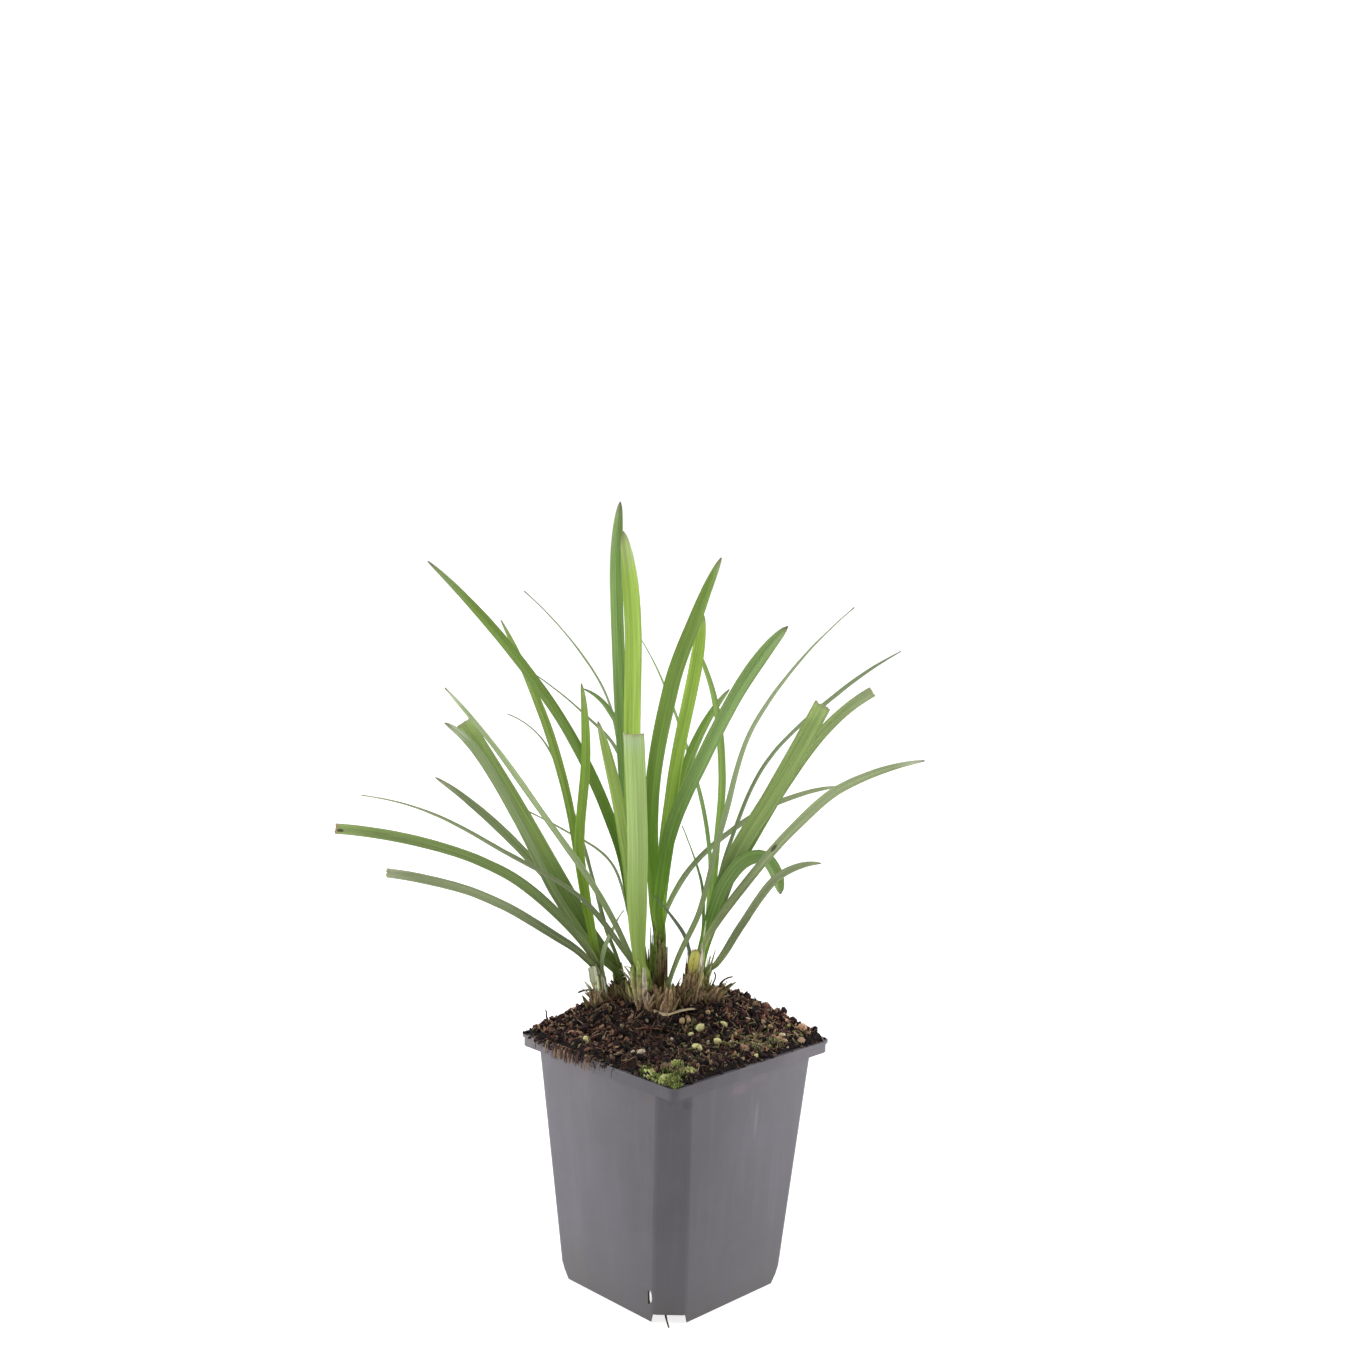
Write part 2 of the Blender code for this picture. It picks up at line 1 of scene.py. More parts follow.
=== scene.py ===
"""Looks for a liriope in a square nursery pot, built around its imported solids.

Metres, +Z up. The plant is laid out in a frame of its own, turned by 45 degrees from the pot's
walls: x runs right across the pot's diagonal, y away from its front corner. Leaves were read
against an upright ruler on the pot's axis, so a way point is (across, height) in millimetres
there, and seen() moves it to its own depth.
"""

from collections import namedtuple
from math import cos, exp, pi, radians, sin, sqrt

import bmesh
import bpy
import numpy as np
from mathutils import Matrix, Vector, noise
from mathutils.geometry import interpolate_bezier


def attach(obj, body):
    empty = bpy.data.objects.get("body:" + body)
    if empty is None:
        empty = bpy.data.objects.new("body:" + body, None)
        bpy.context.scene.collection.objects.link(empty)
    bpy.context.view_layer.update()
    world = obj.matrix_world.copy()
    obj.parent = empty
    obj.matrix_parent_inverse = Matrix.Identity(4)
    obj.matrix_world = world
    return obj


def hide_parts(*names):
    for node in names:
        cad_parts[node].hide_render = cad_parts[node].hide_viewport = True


MM = 0.001
UP = Vector((0, 0, 1))
TURN = radians(45)
EYE_DISTANCE = 657.1 * MM
EYE_HEIGHT = 314.4 * MM
LENS = 43.918
PITCH = radians(6.11)
ROLL = 0.0221

# Pot and soil, as in the solids
POT_HEIGHT = 100 * MM
RIM_WIDTH = 90 * MM
MOUTH_WIDTH = 86.0 * MM
SOIL_EDGE = 100.4
MOUND_RISE = 9.5
MOUND_AT = (1, 20)
MOUND_SPREAD = (46, 24)
LUMP = 0.5
LUMP_PITCH = 11

# Leaves, as in the solids
BLADE_SPACING = 1.2
CROWN_FOOT = 99
CROWN_NARROWING = 0.08
DEPTH_BEND = 1.25
TURN_RUN = 0.3
BASE_SHARE = 0.55
BASE_RUN = 0.35
WISP_FROM = 0.45
POINT_FROM = 0.62
BLUNT_FROM = 0.82
LEAF_LIFT = 0.575
FOLD = 0.17
BASE_FOLD = 0.55
LEAF_THICKNESS = 0.34
LEAF_COLUMNS = 15
ROW_LENGTH = 1.9

WISP = "wisp"
POINTED = "pointed"
BLUNT = "blunt"
CUT = "cut"

# A crown's lift is painted light on the lowest third of its leaves, where they shade each other
Crown = namedtuple("Crown", "foot head size reach look lift")
Leaf = namedtuple("Leaf", "crown across way tip_depth width turn tip look")

CROWNS = {
    "left": Crown((-29, 20), (-31.8, 20, 116), (2.6, 5.6), 2.1, "pale", 1.2),
    "second": Crown((-21, 27), (-23.6, 27.5, 114.5), (3.0, 4.4), 2.3, "dark", 1.3),
    "centre": Crown((-9.5, 13), (-14.2, 15, 119), (4.2, 7.2), 3.4, "pink", 1.05),
    "small": Crown((-3.5, 8), (-3.6, 8, 113.5), (1.7, 1.7), 1.3, "umber", 1.2),
    "middle": Crown((-6.6, 25), (-7.3, 25, 133), (3.0, 4.0), 2.2, "red", 2.0),
    "right": Crown((7, 22), (8.5, 22, 120), (5.6, 8.2), 4.6, "tan", 2.2),
}

LEAVES = (
    Leaf("left", 0.9, ((-29.5, 134), (-24.5, 147), (-21.8, 151.5)),
         15, 2.4, -40, WISP, "fine"),
    Leaf("left", -0.3, ((-38, 132.5), (-50, 140.5), (-70, 152), (-90, 159.5), (-117.5, 164.5)),
         -16, 4.2, 30, CUT, "sage"),
    Leaf("left", -0.2, ((-35, 133.5), (-50, 150.5), (-70, 165.5), (-100, 176.5), (-138, 182)),
         -2, 4.8, 30, CUT, "long"),
    Leaf("left", 0.2, ((-34, 140), (-38, 160), (-40.3, 178), (-38.3, 215), (-40.3, 243)),
         12, 4.4, 20, POINTED, "vivid"),
    Leaf("left", 0.0, ((-33.5, 135), (-39, 163), (-46, 199), (-55, 228), (-72.5, 267.5)),
         32, 4.4, 35, POINTED, "meadow"),

    Leaf("second", -0.6, ((-34, 135), (-50, 158), (-66, 189), (-82, 215), (-94.5, 226)),
         22, 4.4, 30, BLUNT, "grey"),
    Leaf("second", 0.3, ((-30, 132.5), (-45, 158), (-65, 192), (-87, 226.5)),
         33, 7.0, 15, CUT, "shaded"),
    Leaf("second", 0.3, ((-29, 144), (-41, 185), (-54, 218), (-69.5, 230)),
         48, 2.6, 55, WISP, "fine"),
    Leaf("second", 0.0, ((-32, 139), (-45, 155), (-60, 171.5), (-80, 190.5), (-98, 204)),
         36, 4.6, 35, POINTED, "sage"),

    Leaf("centre", 1.8, ((-15, 130), (-16.5, 152), (-17, 180), (-18.5, 210), (-19.3, 223)),
         -24, 8.2, 172, CUT, "under"),
    Leaf("centre", -2.2, ((-21.5, 138), (-34, 160.5), (-54.5, 189), (-75, 217), (-94.5, 240)),
         -18, 3.6, 50, POINTED, "grey"),
    Leaf("centre", -1.8, ((-22.5, 136), (-40, 156.5), (-70, 174), (-100, 189.5), (-127.5, 196)),
         -4, 3.4, 55, WISP, "sage"),
    Leaf("centre", -0.6, ((-16.5, 135), (-20, 165), (-25, 195), (-33.5, 228)),
         6, 5.4, 25, POINTED, "meadow"),
    Leaf("centre", 1.0, ((-16, 145), (-18.2, 180), (-19.6, 225), (-20.2, 270), (-24.8, 303.5)),
         13, 7.0, -15, BLUNT, "light"),
    Leaf("centre", 0.2, ((-17, 145), (-20.5, 180), (-24, 225), (-27.5, 285), (-26.2, 315)),
         22, 5.8, 20, BLUNT, "tall"),
    Leaf("centre", -0.6, ((-17.5, 143), (-24.5, 178), (-43.5, 220), (-70, 257), (-101.5, 290)),
         28, 5.4, 35, POINTED, "pasture"),
    Leaf("centre", -0.4, ((-17, 160), (-24.5, 213), (-40, 231.5), (-62, 248)),
         34, 3.2, 58, WISP, "fine"),
    Leaf("centre", 0.0, ((-16.5, 165), (-19.5, 212), (-30, 233.5), (-40, 241)),
         40, 3.8, 36, POINTED, "deep"),
    Leaf("centre", -0.4, ((-18, 165), (-28, 231), (-40, 254), (-63.5, 279)),
         60, 2.6, 60, WISP, "fine"),
    Leaf("centre", -1.0, ((-20, 150), (-28, 171.5), (-47, 184), (-68, 194)),
         56, 2.4, 62, WISP, "fine"),

    Leaf("small", 0.0, ((0, 131), (9, 152), (17.5, 188), (30, 230), (67, 275.5)),
         -14, 3.4, -50, WISP, "fine"),

    Leaf("middle", 0.3, ((-8.2, 152), (-3, 185), (10, 216), (25, 245.5), (41, 267.5)),
         2, 6.6, -25, BLUNT, "deep"),
    Leaf("middle", -0.8, ((-9.5, 155), (-11, 200), (-4.5, 242), (5, 271), (14, 294)),
         22, 6.8, -20, POINTED, "pasture"),
    Leaf("middle", 0.2, ((-7.2, 160), (-2, 210), (4.8, 250), (7.5, 271.5)),
         30, 5.6, -10, BLUNT, "light"),
    Leaf("middle", 0.6, ((-5.5, 165), (1, 205), (8, 225), (18.5, 242)),
         38, 5.0, -30, POINTED, "pasture"),
    Leaf("middle", 1.0, ((-4.5, 152), (4, 168), (18, 182.5), (40, 197), (65, 204)),
         60, 3.4, -50, POINTED, "sage"),

    Leaf("right", -2.6, ((3.5, 139.5), (-2, 148.5), (-10, 158)),
         8, 2.6, 50, WISP, "dim"),
    Leaf("right", 0.6, ((12, 140.5), (25, 160.5), (45, 185.5), (65, 203.5), (97, 215)),
         -48, 4.2, -30, POINTED, "olive"),
    Leaf("right", 2.6, ((16, 130), (27, 148), (38, 164.5), (47, 170.5), (57, 172.5)),
         0, 4.0, -35, POINTED, "sage"),
    Leaf("right", 1.6, ((15, 153), (23, 169.5), (32, 174.6), (37.5, 170.5), (41, 159.5)),
         14, 6.0, -20, BLUNT, "deep"),
    Leaf("right", 1.2, ((14.5, 150), (24, 177), (36, 198), (56, 236.5)),
         22, 7.6, -15, CUT, "shaded"),
    Leaf("right", 1.8, ((17, 157), (30, 183), (46, 211), (60, 229.5), (75.5, 242)),
         27, 5.2, -30, CUT, "soft"),
    Leaf("right", 0.2, ((12, 142), (14.5, 178), (16, 208), (12, 239), (3, 261)),
         34, 4.2, 45, POINTED, "pasture"),
    Leaf("right", -1.8, ((9.6, 138), (9.5, 160), (6.5, 172), (0.8, 186.5)),
         27, 2.6, 60, WISP, "deep"),
    Leaf("right", 1.4, ((15, 155), (20, 178), (34, 212.5), (61, 240.5), (86, 258.5)),
         48, 3.2, -55, POINTED, "fine"),
    Leaf("right", -0.4, ((11.5, 145), (12, 174), (6.5, 203), (-7.5, 243), (-19, 264)),
         56, 3.2, 55, WISP, "deep"),
)

SHEATHS = {
    "sheath_left": Leaf("left", -1.4, ((-33.2, 122), (-34.2, 128)), 15.0, 3.6, 10, BLUNT, "husk"),
    "sheath_right": Leaf("right", -1.6, ((7.0, 129), (7.7, 136)), 14.2, 4.6, -5, POINTED, "yellow"),
    "bract_right": Leaf("right", -3.4, ((4.9, 126), (4.2, 130)), 18.4, 3.0, 20, POINTED, "dead"),
}

STRAW_WAY = ((-9, 4), (-4, 2.2), (2, 3.4), (8, 5.6))
STRAW_LIFT = 1.6
ROOT_WAY = ((-2.0, -37.0, 4.3), (-1.5, -40.2, 2.5), (-0.8, -45.0, 1.7), (0.0, -48.3, 0.8))

# Screen colours of a leaf: at the crown, low down, higher up and at the tip
LOOKS = {
    "vivid": ((118, 138, 62), (132, 166, 48), (140, 174, 68), (144, 164, 98)),
    "light": ((130, 158, 62), (150, 184, 72), (164, 196, 84), (176, 196, 122)),
    "tall": ((132, 160, 66), (104, 144, 46), (126, 158, 84), (134, 154, 104)),
    "under": ((140, 158, 60), (140, 170, 68), (156, 182, 104), (166, 186, 138)),
    "meadow": ((146, 164, 80), (128, 160, 54), (148, 174, 84), (164, 180, 124)),
    "pasture": ((136, 156, 72), (110, 148, 48), (124, 154, 68), (146, 164, 110)),
    "long": ((140, 152, 98), (120, 138, 88), (138, 160, 94), (160, 182, 112)),
    "grey": ((126, 144, 86), (138, 154, 104), (156, 174, 124), (192, 204, 170)),
    "sage": ((122, 134, 86), (124, 136, 96), (146, 158, 116), (172, 180, 146)),
    "soft": ((150, 170, 96), (144, 164, 98), (160, 178, 118), (162, 174, 130)),
    "deep": ((112, 140, 54), (98, 136, 42), (124, 154, 84), (140, 160, 110)),
    "shaded": ((116, 134, 62), (104, 126, 66), (154, 178, 104), (174, 198, 122)),
    "olive": ((140, 150, 98), (112, 124, 80), (140, 154, 108), (192, 198, 170)),
    "fine": ((120, 134, 84), (116, 132, 84), (134, 150, 108), (150, 158, 134)),
    "husk": ((196, 196, 150), (238, 242, 204), (240, 244, 208), (220, 210, 170)),
    "yellow": ((190, 156, 114), (240, 226, 120), (250, 244, 134), (214, 198, 120)),
    "dead": ((128, 98, 70), (150, 118, 84), (160, 126, 92), (110, 82, 60)),
    "dim": ((108, 116, 96), (96, 106, 84), (90, 102, 82), (84, 96, 76)),
    "straw": ((176, 156, 122), (200, 184, 152), (192, 176, 144), (150, 128, 98)),
}

# Cut ends that aren't pale, and dark spots: where along the leaf and how far they reach
CUT_ENDS = {"leaf_left_3": (170, 142, 112)}
SPOTS = {"leaf_left_3": ((0.985, 0.012),), "leaf_right_2": ((0.475, 0.016),)}

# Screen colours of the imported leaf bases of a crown, the last one at their tips
BASES = {
    "pale": ((168, 156, 112), (140, 126, 86), (112, 94, 66), (196, 190, 146), (222, 228, 184)),
    "umber": ((150, 126, 92), (164, 144, 100), (112, 90, 66), (178, 156, 118), (140, 132, 84)),
    "dark": ((118, 108, 70), (132, 122, 76), (94, 76, 54), (156, 138, 98), (132, 146, 80)),
    "pink": ((208, 172, 142), (196, 160, 130), (182, 172, 108), (160, 122, 96), (172, 196, 92)),
    "red": ((134, 134, 82), (158, 124, 100), (118, 108, 72), (150, 120, 96), (144, 158, 82)),
    "tan": ((184, 150, 116), (204, 172, 136), (140, 112, 84), (170, 158, 104), (188, 186, 116)),
}

RANDOM = np.random.default_rng(20)


def linear(colour):
    """Linear light of a screen colour given in 0 to 255."""
    shares = [value / 255 for value in colour]
    return tuple(v / 12.92 if v <= 0.04045 else ((v + 0.055) / 1.055) ** 2.4 for v in shares)


# Materials


class Shade:
    """A node material around one Principled shader."""

    def __init__(self, name, roughness=0.5, specular=0.5):
        self.material = bpy.data.materials.new(name)
        self.material.use_nodes = True
        self.tree = self.material.node_tree
        self.shader = self.tree.nodes["Principled BSDF"]
        self.shader.inputs["Roughness"].default_value = roughness
        self.shader.inputs["Specular IOR Level"].default_value = specular

    def put(self, socket, value):
        if isinstance(value, bpy.types.NodeSocket):
            self.tree.links.new(value, socket)
        elif value is not None:
            socket.default_value = value

    def node(self, kind, values=(), **settings):
        made = self.tree.nodes.new(kind)
        for name, value in settings.items():
            setattr(made, name, value)
        for key, value in dict(values).items():
            self.put(made.inputs[key], value)
        return made

    def math(self, operation, first, second=None, third=None):
        made = self.node("ShaderNodeMath", operation=operation)
        for index, value in enumerate((first, second, third)):
            self.put(made.inputs[index], value)
        return made.outputs[0]

    def ramp(self, value, low, high, start=0.0, end=1.0):
        """A smooth step of value from low to high, mapped to start and end."""
        made = self.node("ShaderNodeMapRange", interpolation_type="SMOOTHSTEP")
        for index, item in enumerate((value, low, high, start, end)):
            self.put(made.inputs[index], item)
        return made.outputs[0]

    def mix(self, share, first, second, blend="MIX"):
        made = self.node("ShaderNodeMix", data_type="RGBA", blend_type=blend)
        self.put(made.inputs[0], share)
        for index, item in ((6, first), (7, second)):
            if isinstance(item, tuple):
                item = (*item[:3], 1.0)
            self.put(made.inputs[index], item)
        return made.outputs[2]

    def grey(self, value):
        made = self.node("ShaderNodeCombineColor")
        for index in range(3):
            self.put(made.inputs[index], value)
        return made.outputs[0]

    def noise(self, vector, scale, detail=2.0, roughness=0.5):
        made = self.node("ShaderNodeTexNoise", {"Vector": vector, "Scale": scale,
                                                "Detail": detail, "Roughness": roughness})
        return made.outputs[0]

    def cells(self, vector, scale):
        made = self.node("ShaderNodeTexVoronoi", {"Vector": vector, "Scale": scale})
        return made.outputs["Distance"]

    def place(self):
        return self.node("ShaderNodeTexCoord").outputs["Object"]

    def attribute(self, name):
        return self.node("ShaderNodeAttribute", attribute_name=name)

    def split(self, vector):
        return self.node("ShaderNodeSeparateXYZ", {0: vector}).outputs

    def join(self, x, y, z):
        return self.node("ShaderNodeCombineXYZ", {0: x, 1: y, 2: z}).outputs[0]

    def scaled(self, vector, scale):
        return self.node("ShaderNodeMapping", {"Vector": vector, "Scale": scale}).outputs[0]

    def stops(self, value, colours):
        made = self.node("ShaderNodeValToRGB", {0: value})
        points = made.color_ramp.elements
        made.color_ramp.interpolation = "EASE"
        while len(points) < len(colours):
            points.new(0.5)
        for point, (spot, colour) in zip(points, colours):
            point.position = spot
            point.color = (*colour, 1.0)
        return made.outputs[0]

    def bump(self, height, depth, strength=1.0):
        made = self.node("ShaderNodeBump", {"Height": height, "Strength": strength,
                                            "Distance": depth})
        self.put(self.shader.inputs["Normal"], made.outputs[0])

    def finish(self, colour, roughness=None):
        self.put(self.shader.inputs["Base Color"], colour)
        self.put(self.shader.inputs["Roughness"], roughness)
        return self.material


def leaf_material(name, look, tip, seed, lift=1.0):
    """Parallel veins, a paler midrib and underside; lift is painted light that brightens the lowest third,
    where the leaves shade each other.
    """
    shade = Shade(name, specular=0.3)
    across, along, run = shade.split(shade.attribute("strap").outputs["Vector"])
    edge, face, _ = shade.split(shade.attribute("side").outputs["Vector"])
    base, low, high, end = (linear(colour) for colour in LOOKS[look])
    patches = shade.noise(shade.join(shade.math("MULTIPLY", across, 0.12),
                                     shade.math("MULTIPLY", run, 0.05), seed), 1.0, 3.0)
    shifted = shade.math("ADD", along, shade.math("MULTIPLY", shade.math("SUBTRACT", patches, 0.5),
                                                  0.22))
    colour = shade.stops(shifted, ((0.03, base), (0.2, low), (0.62, high), (0.9, high), (1.0, end)))
    # painted light: the lowest third of the blade brightened by the crown's lift, against the shade among the
    # leaves
    colour = shade.mix(1.0, colour, shade.grey(shade.ramp(along, 0.04, 0.36, lift, 1.0)), "MULTIPLY")
    streaks = shade.noise(shade.join(across, shade.math("MULTIPLY", run, 0.012), seed), 1.9, 3.0)
    veins = shade.noise(shade.join(across, shade.math("MULTIPLY", run, 0.004), seed + 9), 4.6, 2.0)
    colour = shade.mix(1.0, colour, shade.grey(shade.ramp(streaks, 0.3, 0.7, 0.8, 1.2)),
                       "MULTIPLY")
    colour = shade.mix(1.0, colour, shade.grey(shade.ramp(veins, 0.35, 0.65, 0.9, 1.08)),
                       "MULTIPLY")
    below = tuple(0.6 * a + 0.4 * b for a, b in zip(high, linear((150, 170, 118))))
    colour = shade.mix(shade.math("MULTIPLY", shade.math("SUBTRACT", 1.0, face), 0.25), colour,
                       below)
    rib = shade.ramp(shade.math("ABSOLUTE", across), 0.08, 0.42, 0.3, 0.0)
    colour = shade.mix(rib, colour, tuple(min(1.0, 1.2 * v + 0.015) for v in high))
    colour = shade.mix(shade.ramp(edge, 0.9, 1.0, 0.0, 0.25), colour,
                       tuple(0.85 * v + 0.03 for v in high))
    if tip == CUT:
        dry = shade.ramp(shade.math("ADD", along, shade.math("MULTIPLY", veins, 0.012)), 0.99,
                         1.006)
        colour = shade.mix(dry, colour, linear(CUT_ENDS.get(name, (178, 184, 134))))
    else:
        dry = shade.ramp(along, 0.965, 1.0, 0.0, 0.6)
        colour = shade.mix(dry, colour, linear((116, 112, 88)))
    for spot, reach in SPOTS.get(name, ()):
        off = shade.math("DIVIDE", shade.math("SUBTRACT", along, spot), reach)
        aside = shade.math("DIVIDE", shade.math("ADD", across, 0.5), 0.9)
        total = shade.math("ADD", shade.math("MULTIPLY", off, off), shade.math("MULTIPLY", aside, aside))
        ragged = shade.math("ADD", total, shade.math("MULTIPLY", streaks, 0.5))
        colour = shade.mix(shade.ramp(ragged, 0.6, 1.4, 0.85, 0.0), colour, linear((62, 48, 38)))
    ridges = shade.math("SINE", shade.math("MULTIPLY", across, 2 * pi / 0.62))
    height = shade.math("ADD", shade.math("MULTIPLY", ridges, 0.5), veins)
    shade.bump(height, 0.00006, 0.7)
    return shade.finish(colour, shade.ramp(streaks, 0.25, 0.75, 0.44, 0.6))


def fibre_material(name, shine=0.3):
    """Dry plant matter: the colour of each strand with streaks along it."""
    shade = Shade(name, specular=shine)
    tint = shade.attribute("tint").outputs["Color"]
    place = shade.place()
    streaks = shade.noise(shade.scaled(place, (1.0, 1.0, 0.16)), 2600.0, 3.0)
    blotch = shade.noise(place, 420.0, 3.0)
    colour = shade.mix(1.0, tint, shade.grey(shade.ramp(streaks, 0.3, 0.7, 0.62, 1.22)), "MULTIPLY")
    colour = shade.mix(shade.ramp(blotch, 0.5, 0.68, 0.0, 0.45), colour, linear((70, 48, 34)))
    shade.bump(streaks, 0.00025, 0.8)
    return shade.finish(colour, shade.ramp(blotch, 0.3, 0.7, 0.6, 0.85))


def soil_material(name, tinted):
    """Dark peat with red-brown and tan fragments."""
    shade = Shade(name, specular=0.2)
    place = shade.place()
    broad = shade.noise(place, 90.0, 3.0)
    fine = shade.noise(place, 900.0, 4.0, 0.65)
    flecks = shade.cells(place, 620.0)
    colour = shade.mix(shade.ramp(fine, 0.42, 0.7), linear((15, 11, 13)), linear((46, 31, 27)))
    colour = shade.mix(shade.ramp(broad, 0.55, 0.7, 0.0, 0.4), colour, linear((66, 44, 36)))
    colour = shade.mix(shade.ramp(flecks, 0.0, 0.2, 0.4, 0.0), colour, linear((112, 86, 62)))
    if tinted:
        own = shade.attribute("tint").outputs["Color"]
        colour = shade.mix(0.85, colour, own)
        colour = shade.mix(1.0, colour, shade.grey(shade.ramp(fine, 0.3, 0.7, 0.55, 1.3)), "MULTIPLY")
    shade.bump(shade.math("ADD", fine, shade.math("MULTIPLY", flecks, 0.6)), 0.0006, 0.9)
    return shade.finish(colour, shade.ramp(broad, 0.3, 0.7, 0.72, 0.95))


def grain_material(name):
    """Pale perlite and feed pellets: chalky, pitted, stained by the peat."""
    shade = Shade(name, specular=0.35)
    tint = shade.attribute("tint").outputs["Color"]
    place = shade.place()
    pits = shade.cells(place, 1900.0)
    stain = shade.noise(place, 700.0, 3.0)
    colour = shade.mix(shade.ramp(stain, 0.52, 0.72, 0.0, 0.75), tint, linear((104, 80, 58)))
    colour = shade.mix(1.0, colour, shade.grey(shade.ramp(pits, 0.05, 0.5, 0.72, 1.05)), "MULTIPLY")
    shade.bump(pits, 0.0003, 0.8)
    return shade.finish(colour, shade.ramp(stain, 0.3, 0.7, 0.55, 0.8))


def moss_material(name):
    shade = Shade(name, specular=0.35)
    tint = shade.attribute("tint").outputs["Color"]
    mottle = shade.noise(shade.place(), 800.0, 3.0)
    colour = shade.mix(1.0, tint, shade.grey(shade.ramp(mottle, 0.3, 0.7, 0.7, 1.25)), "MULTIPLY")
    shade.bump(mottle, 0.0002, 0.6)
    return shade.finish(colour, shade.ramp(mottle, 0.3, 0.7, 0.5, 0.7))


def scuff(shade, place, middle, size, soft=0.35):
    """A soft oval mask at a place on the pot, in metres."""
    x, y, z = shade.split(place)
    total = None
    for axis, centre, reach in zip((x, y, z), middle, size):
        if reach:
            gap = shade.math("DIVIDE", shade.math("SUBTRACT", axis, centre), reach)
            square = shade.math("MULTIPLY", gap, gap)
            total = square if total is None else shade.math("ADD", total, square)
    return shade.ramp(total, soft, 1.0, 1.0, 0.0)


def pot_material():
    """Dark grey recycled plastic: a satin skin, faint moulding streaks, dust, a few scuffs and marks, with
    painted light towards the outer edges and under the rim and painted shadow under the rim at the front
    corner.
    """
    shade = Shade("pot_plastic", specular=0.5)
    place = shade.place()
    x, y, z = shade.split(place)
    cloud = shade.noise(place, 38.0, 4.0, 0.6)
    grain = shade.noise(place, 2400.0, 2.0)
    speck = shade.cells(place, 900.0)
    flow = shade.noise(shade.scaled(place, (1.0, 1.0, 0.06)), 210.0, 3.0, 0.6)
    colour = shade.mix(shade.ramp(cloud, 0.35, 0.65), linear((71, 68, 75)), linear((78, 75, 83)))
    colour = shade.mix(shade.ramp(flow, 0.45, 0.75, 0.0, 0.3), colour, linear((89, 86, 94)))
    dust = shade.math("MULTIPLY", shade.ramp(z, 0.002, 0.03, 1.0, 0.0),
                      shade.ramp(flow, 0.3, 0.7, 0.2, 0.6))
    colour = shade.mix(dust, colour, linear((78, 77, 69)))
    # painted light: pinkish, lighter patches on the band under the rim
    painted_light_under_rim = shade.math("MULTIPLY", shade.ramp(z, 0.078, 0.096), shade.ramp(cloud, 0.42, 0.62, 0.0, 0.4))
    colour = shade.mix(painted_light_under_rim, colour, linear((88, 80, 80)))
    colour = shade.mix(shade.ramp(speck, 0.0, 0.09, 0.35, 0.0), colour, linear((128, 124, 126)))
    # painted light and shade: the colour is made lighter towards the pot's outer edges and darker near its
    # front corner, as the side light falls
    corner = shade.ramp(shade.math("SUBTRACT", x, y), 0.0, 0.085, 1.55, 0.9)
    colour = shade.mix(1.0, colour, shade.grey(corner), "MULTIPLY")
    for middle, size, tint, weight in POT_MARKS:
        mask = shade.math("MULTIPLY", scuff(shade, place, middle, size),
                          shade.ramp(flow, 0.3, 0.6, 0.35 * weight, weight))
        colour = shade.mix(mask, colour, linear(tint))
    height = shade.math("ADD", shade.math("MULTIPLY", grain, 0.5), flow)
    shade.bump(height, 0.00006, 0.5)
    rough = shade.math("ADD", shade.ramp(cloud, 0.3, 0.7, 0.36, 0.46),
                       shade.math("MULTIPLY", dust, 0.2))
    return shade.finish(colour, rough)


# Marks on the pot: middle and reach (0 for an axis that doesn't count) in metres, colour, weight
POT_MARKS = (
    ((0.0425, -0.0055, 0.0905), (0, 0.0070, 0.0022), (118, 96, 100), 0.35),
    ((0.0425, 0.0045, 0.0925), (0, 0.0060, 0.0018), (112, 94, 98), 0.3),
    ((0.0412, 0.0046, 0.0752), (0, 0.0012, 0.0095), (128, 126, 132), 0.3),
    ((0.0288, -0.0425, 0.0918), (0.0032, 0, 0.0018), (80, 68, 64), 0.4),
    # The next two marks are painted shadow under the rim at the front corner
    ((0.0385, -0.0415, 0.0914), (0.0026, 0.004, 0.002), (46, 42, 44), 0.5),
    ((0.0422, -0.034, 0.0908), (0.004, 0.0024, 0.002), (46, 42, 44), 0.5),
    ((-0.0150, -0.0450, 0.0965), (0.0160, 0.002, 0.0042), (92, 72, 62), 0.6),
    ((-0.0130, -0.0435, 0.0925), (0.0150, 0.003, 0.0035), (92, 82, 78), 0.3),
    # A pale streak beside the drainage slit
    ((0.0257, -0.0360, 0.0105), (0.0007, 0.002, 0.0028), (220, 220, 218), 1.4),
)


# Meshes


def mesh_piece(name, points, faces, finish, body="root", smooth=True, turned=True, **layers):
    """One object from points in metres; layers are per-point vectors or colours."""
    points = np.asarray(points, float)
    if turned:
        spin = np.array([[cos(TURN), sin(TURN), 0], [-sin(TURN), cos(TURN), 0], [0, 0, 1]])
        points = points @ spin
    mesh = bpy.data.meshes.new(name)
    mesh.from_pydata([tuple(p) for p in points], [], [tuple(int(i) for i in f) for f in faces])
    for key, values in layers.items():
        if key == "tint":
            layer = mesh.color_attributes.new(key, "FLOAT_COLOR", "POINT")
            values = np.c_[values, np.ones(len(values))]
            layer.data.foreach_set("color", np.asarray(values, np.float32).ravel())
        else:
            layer = mesh.attributes.new(key, "FLOAT_VECTOR", "POINT")
            layer.data.foreach_set("vector", np.asarray(values, np.float32).ravel())
    mesh.materials.append(finish)
    mesh.validate()
    made = bpy.data.objects.new(name, mesh)
    bpy.context.scene.collection.objects.link(made)
    if smooth:
        mesh.shade_smooth()
    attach(made, body)
    return made


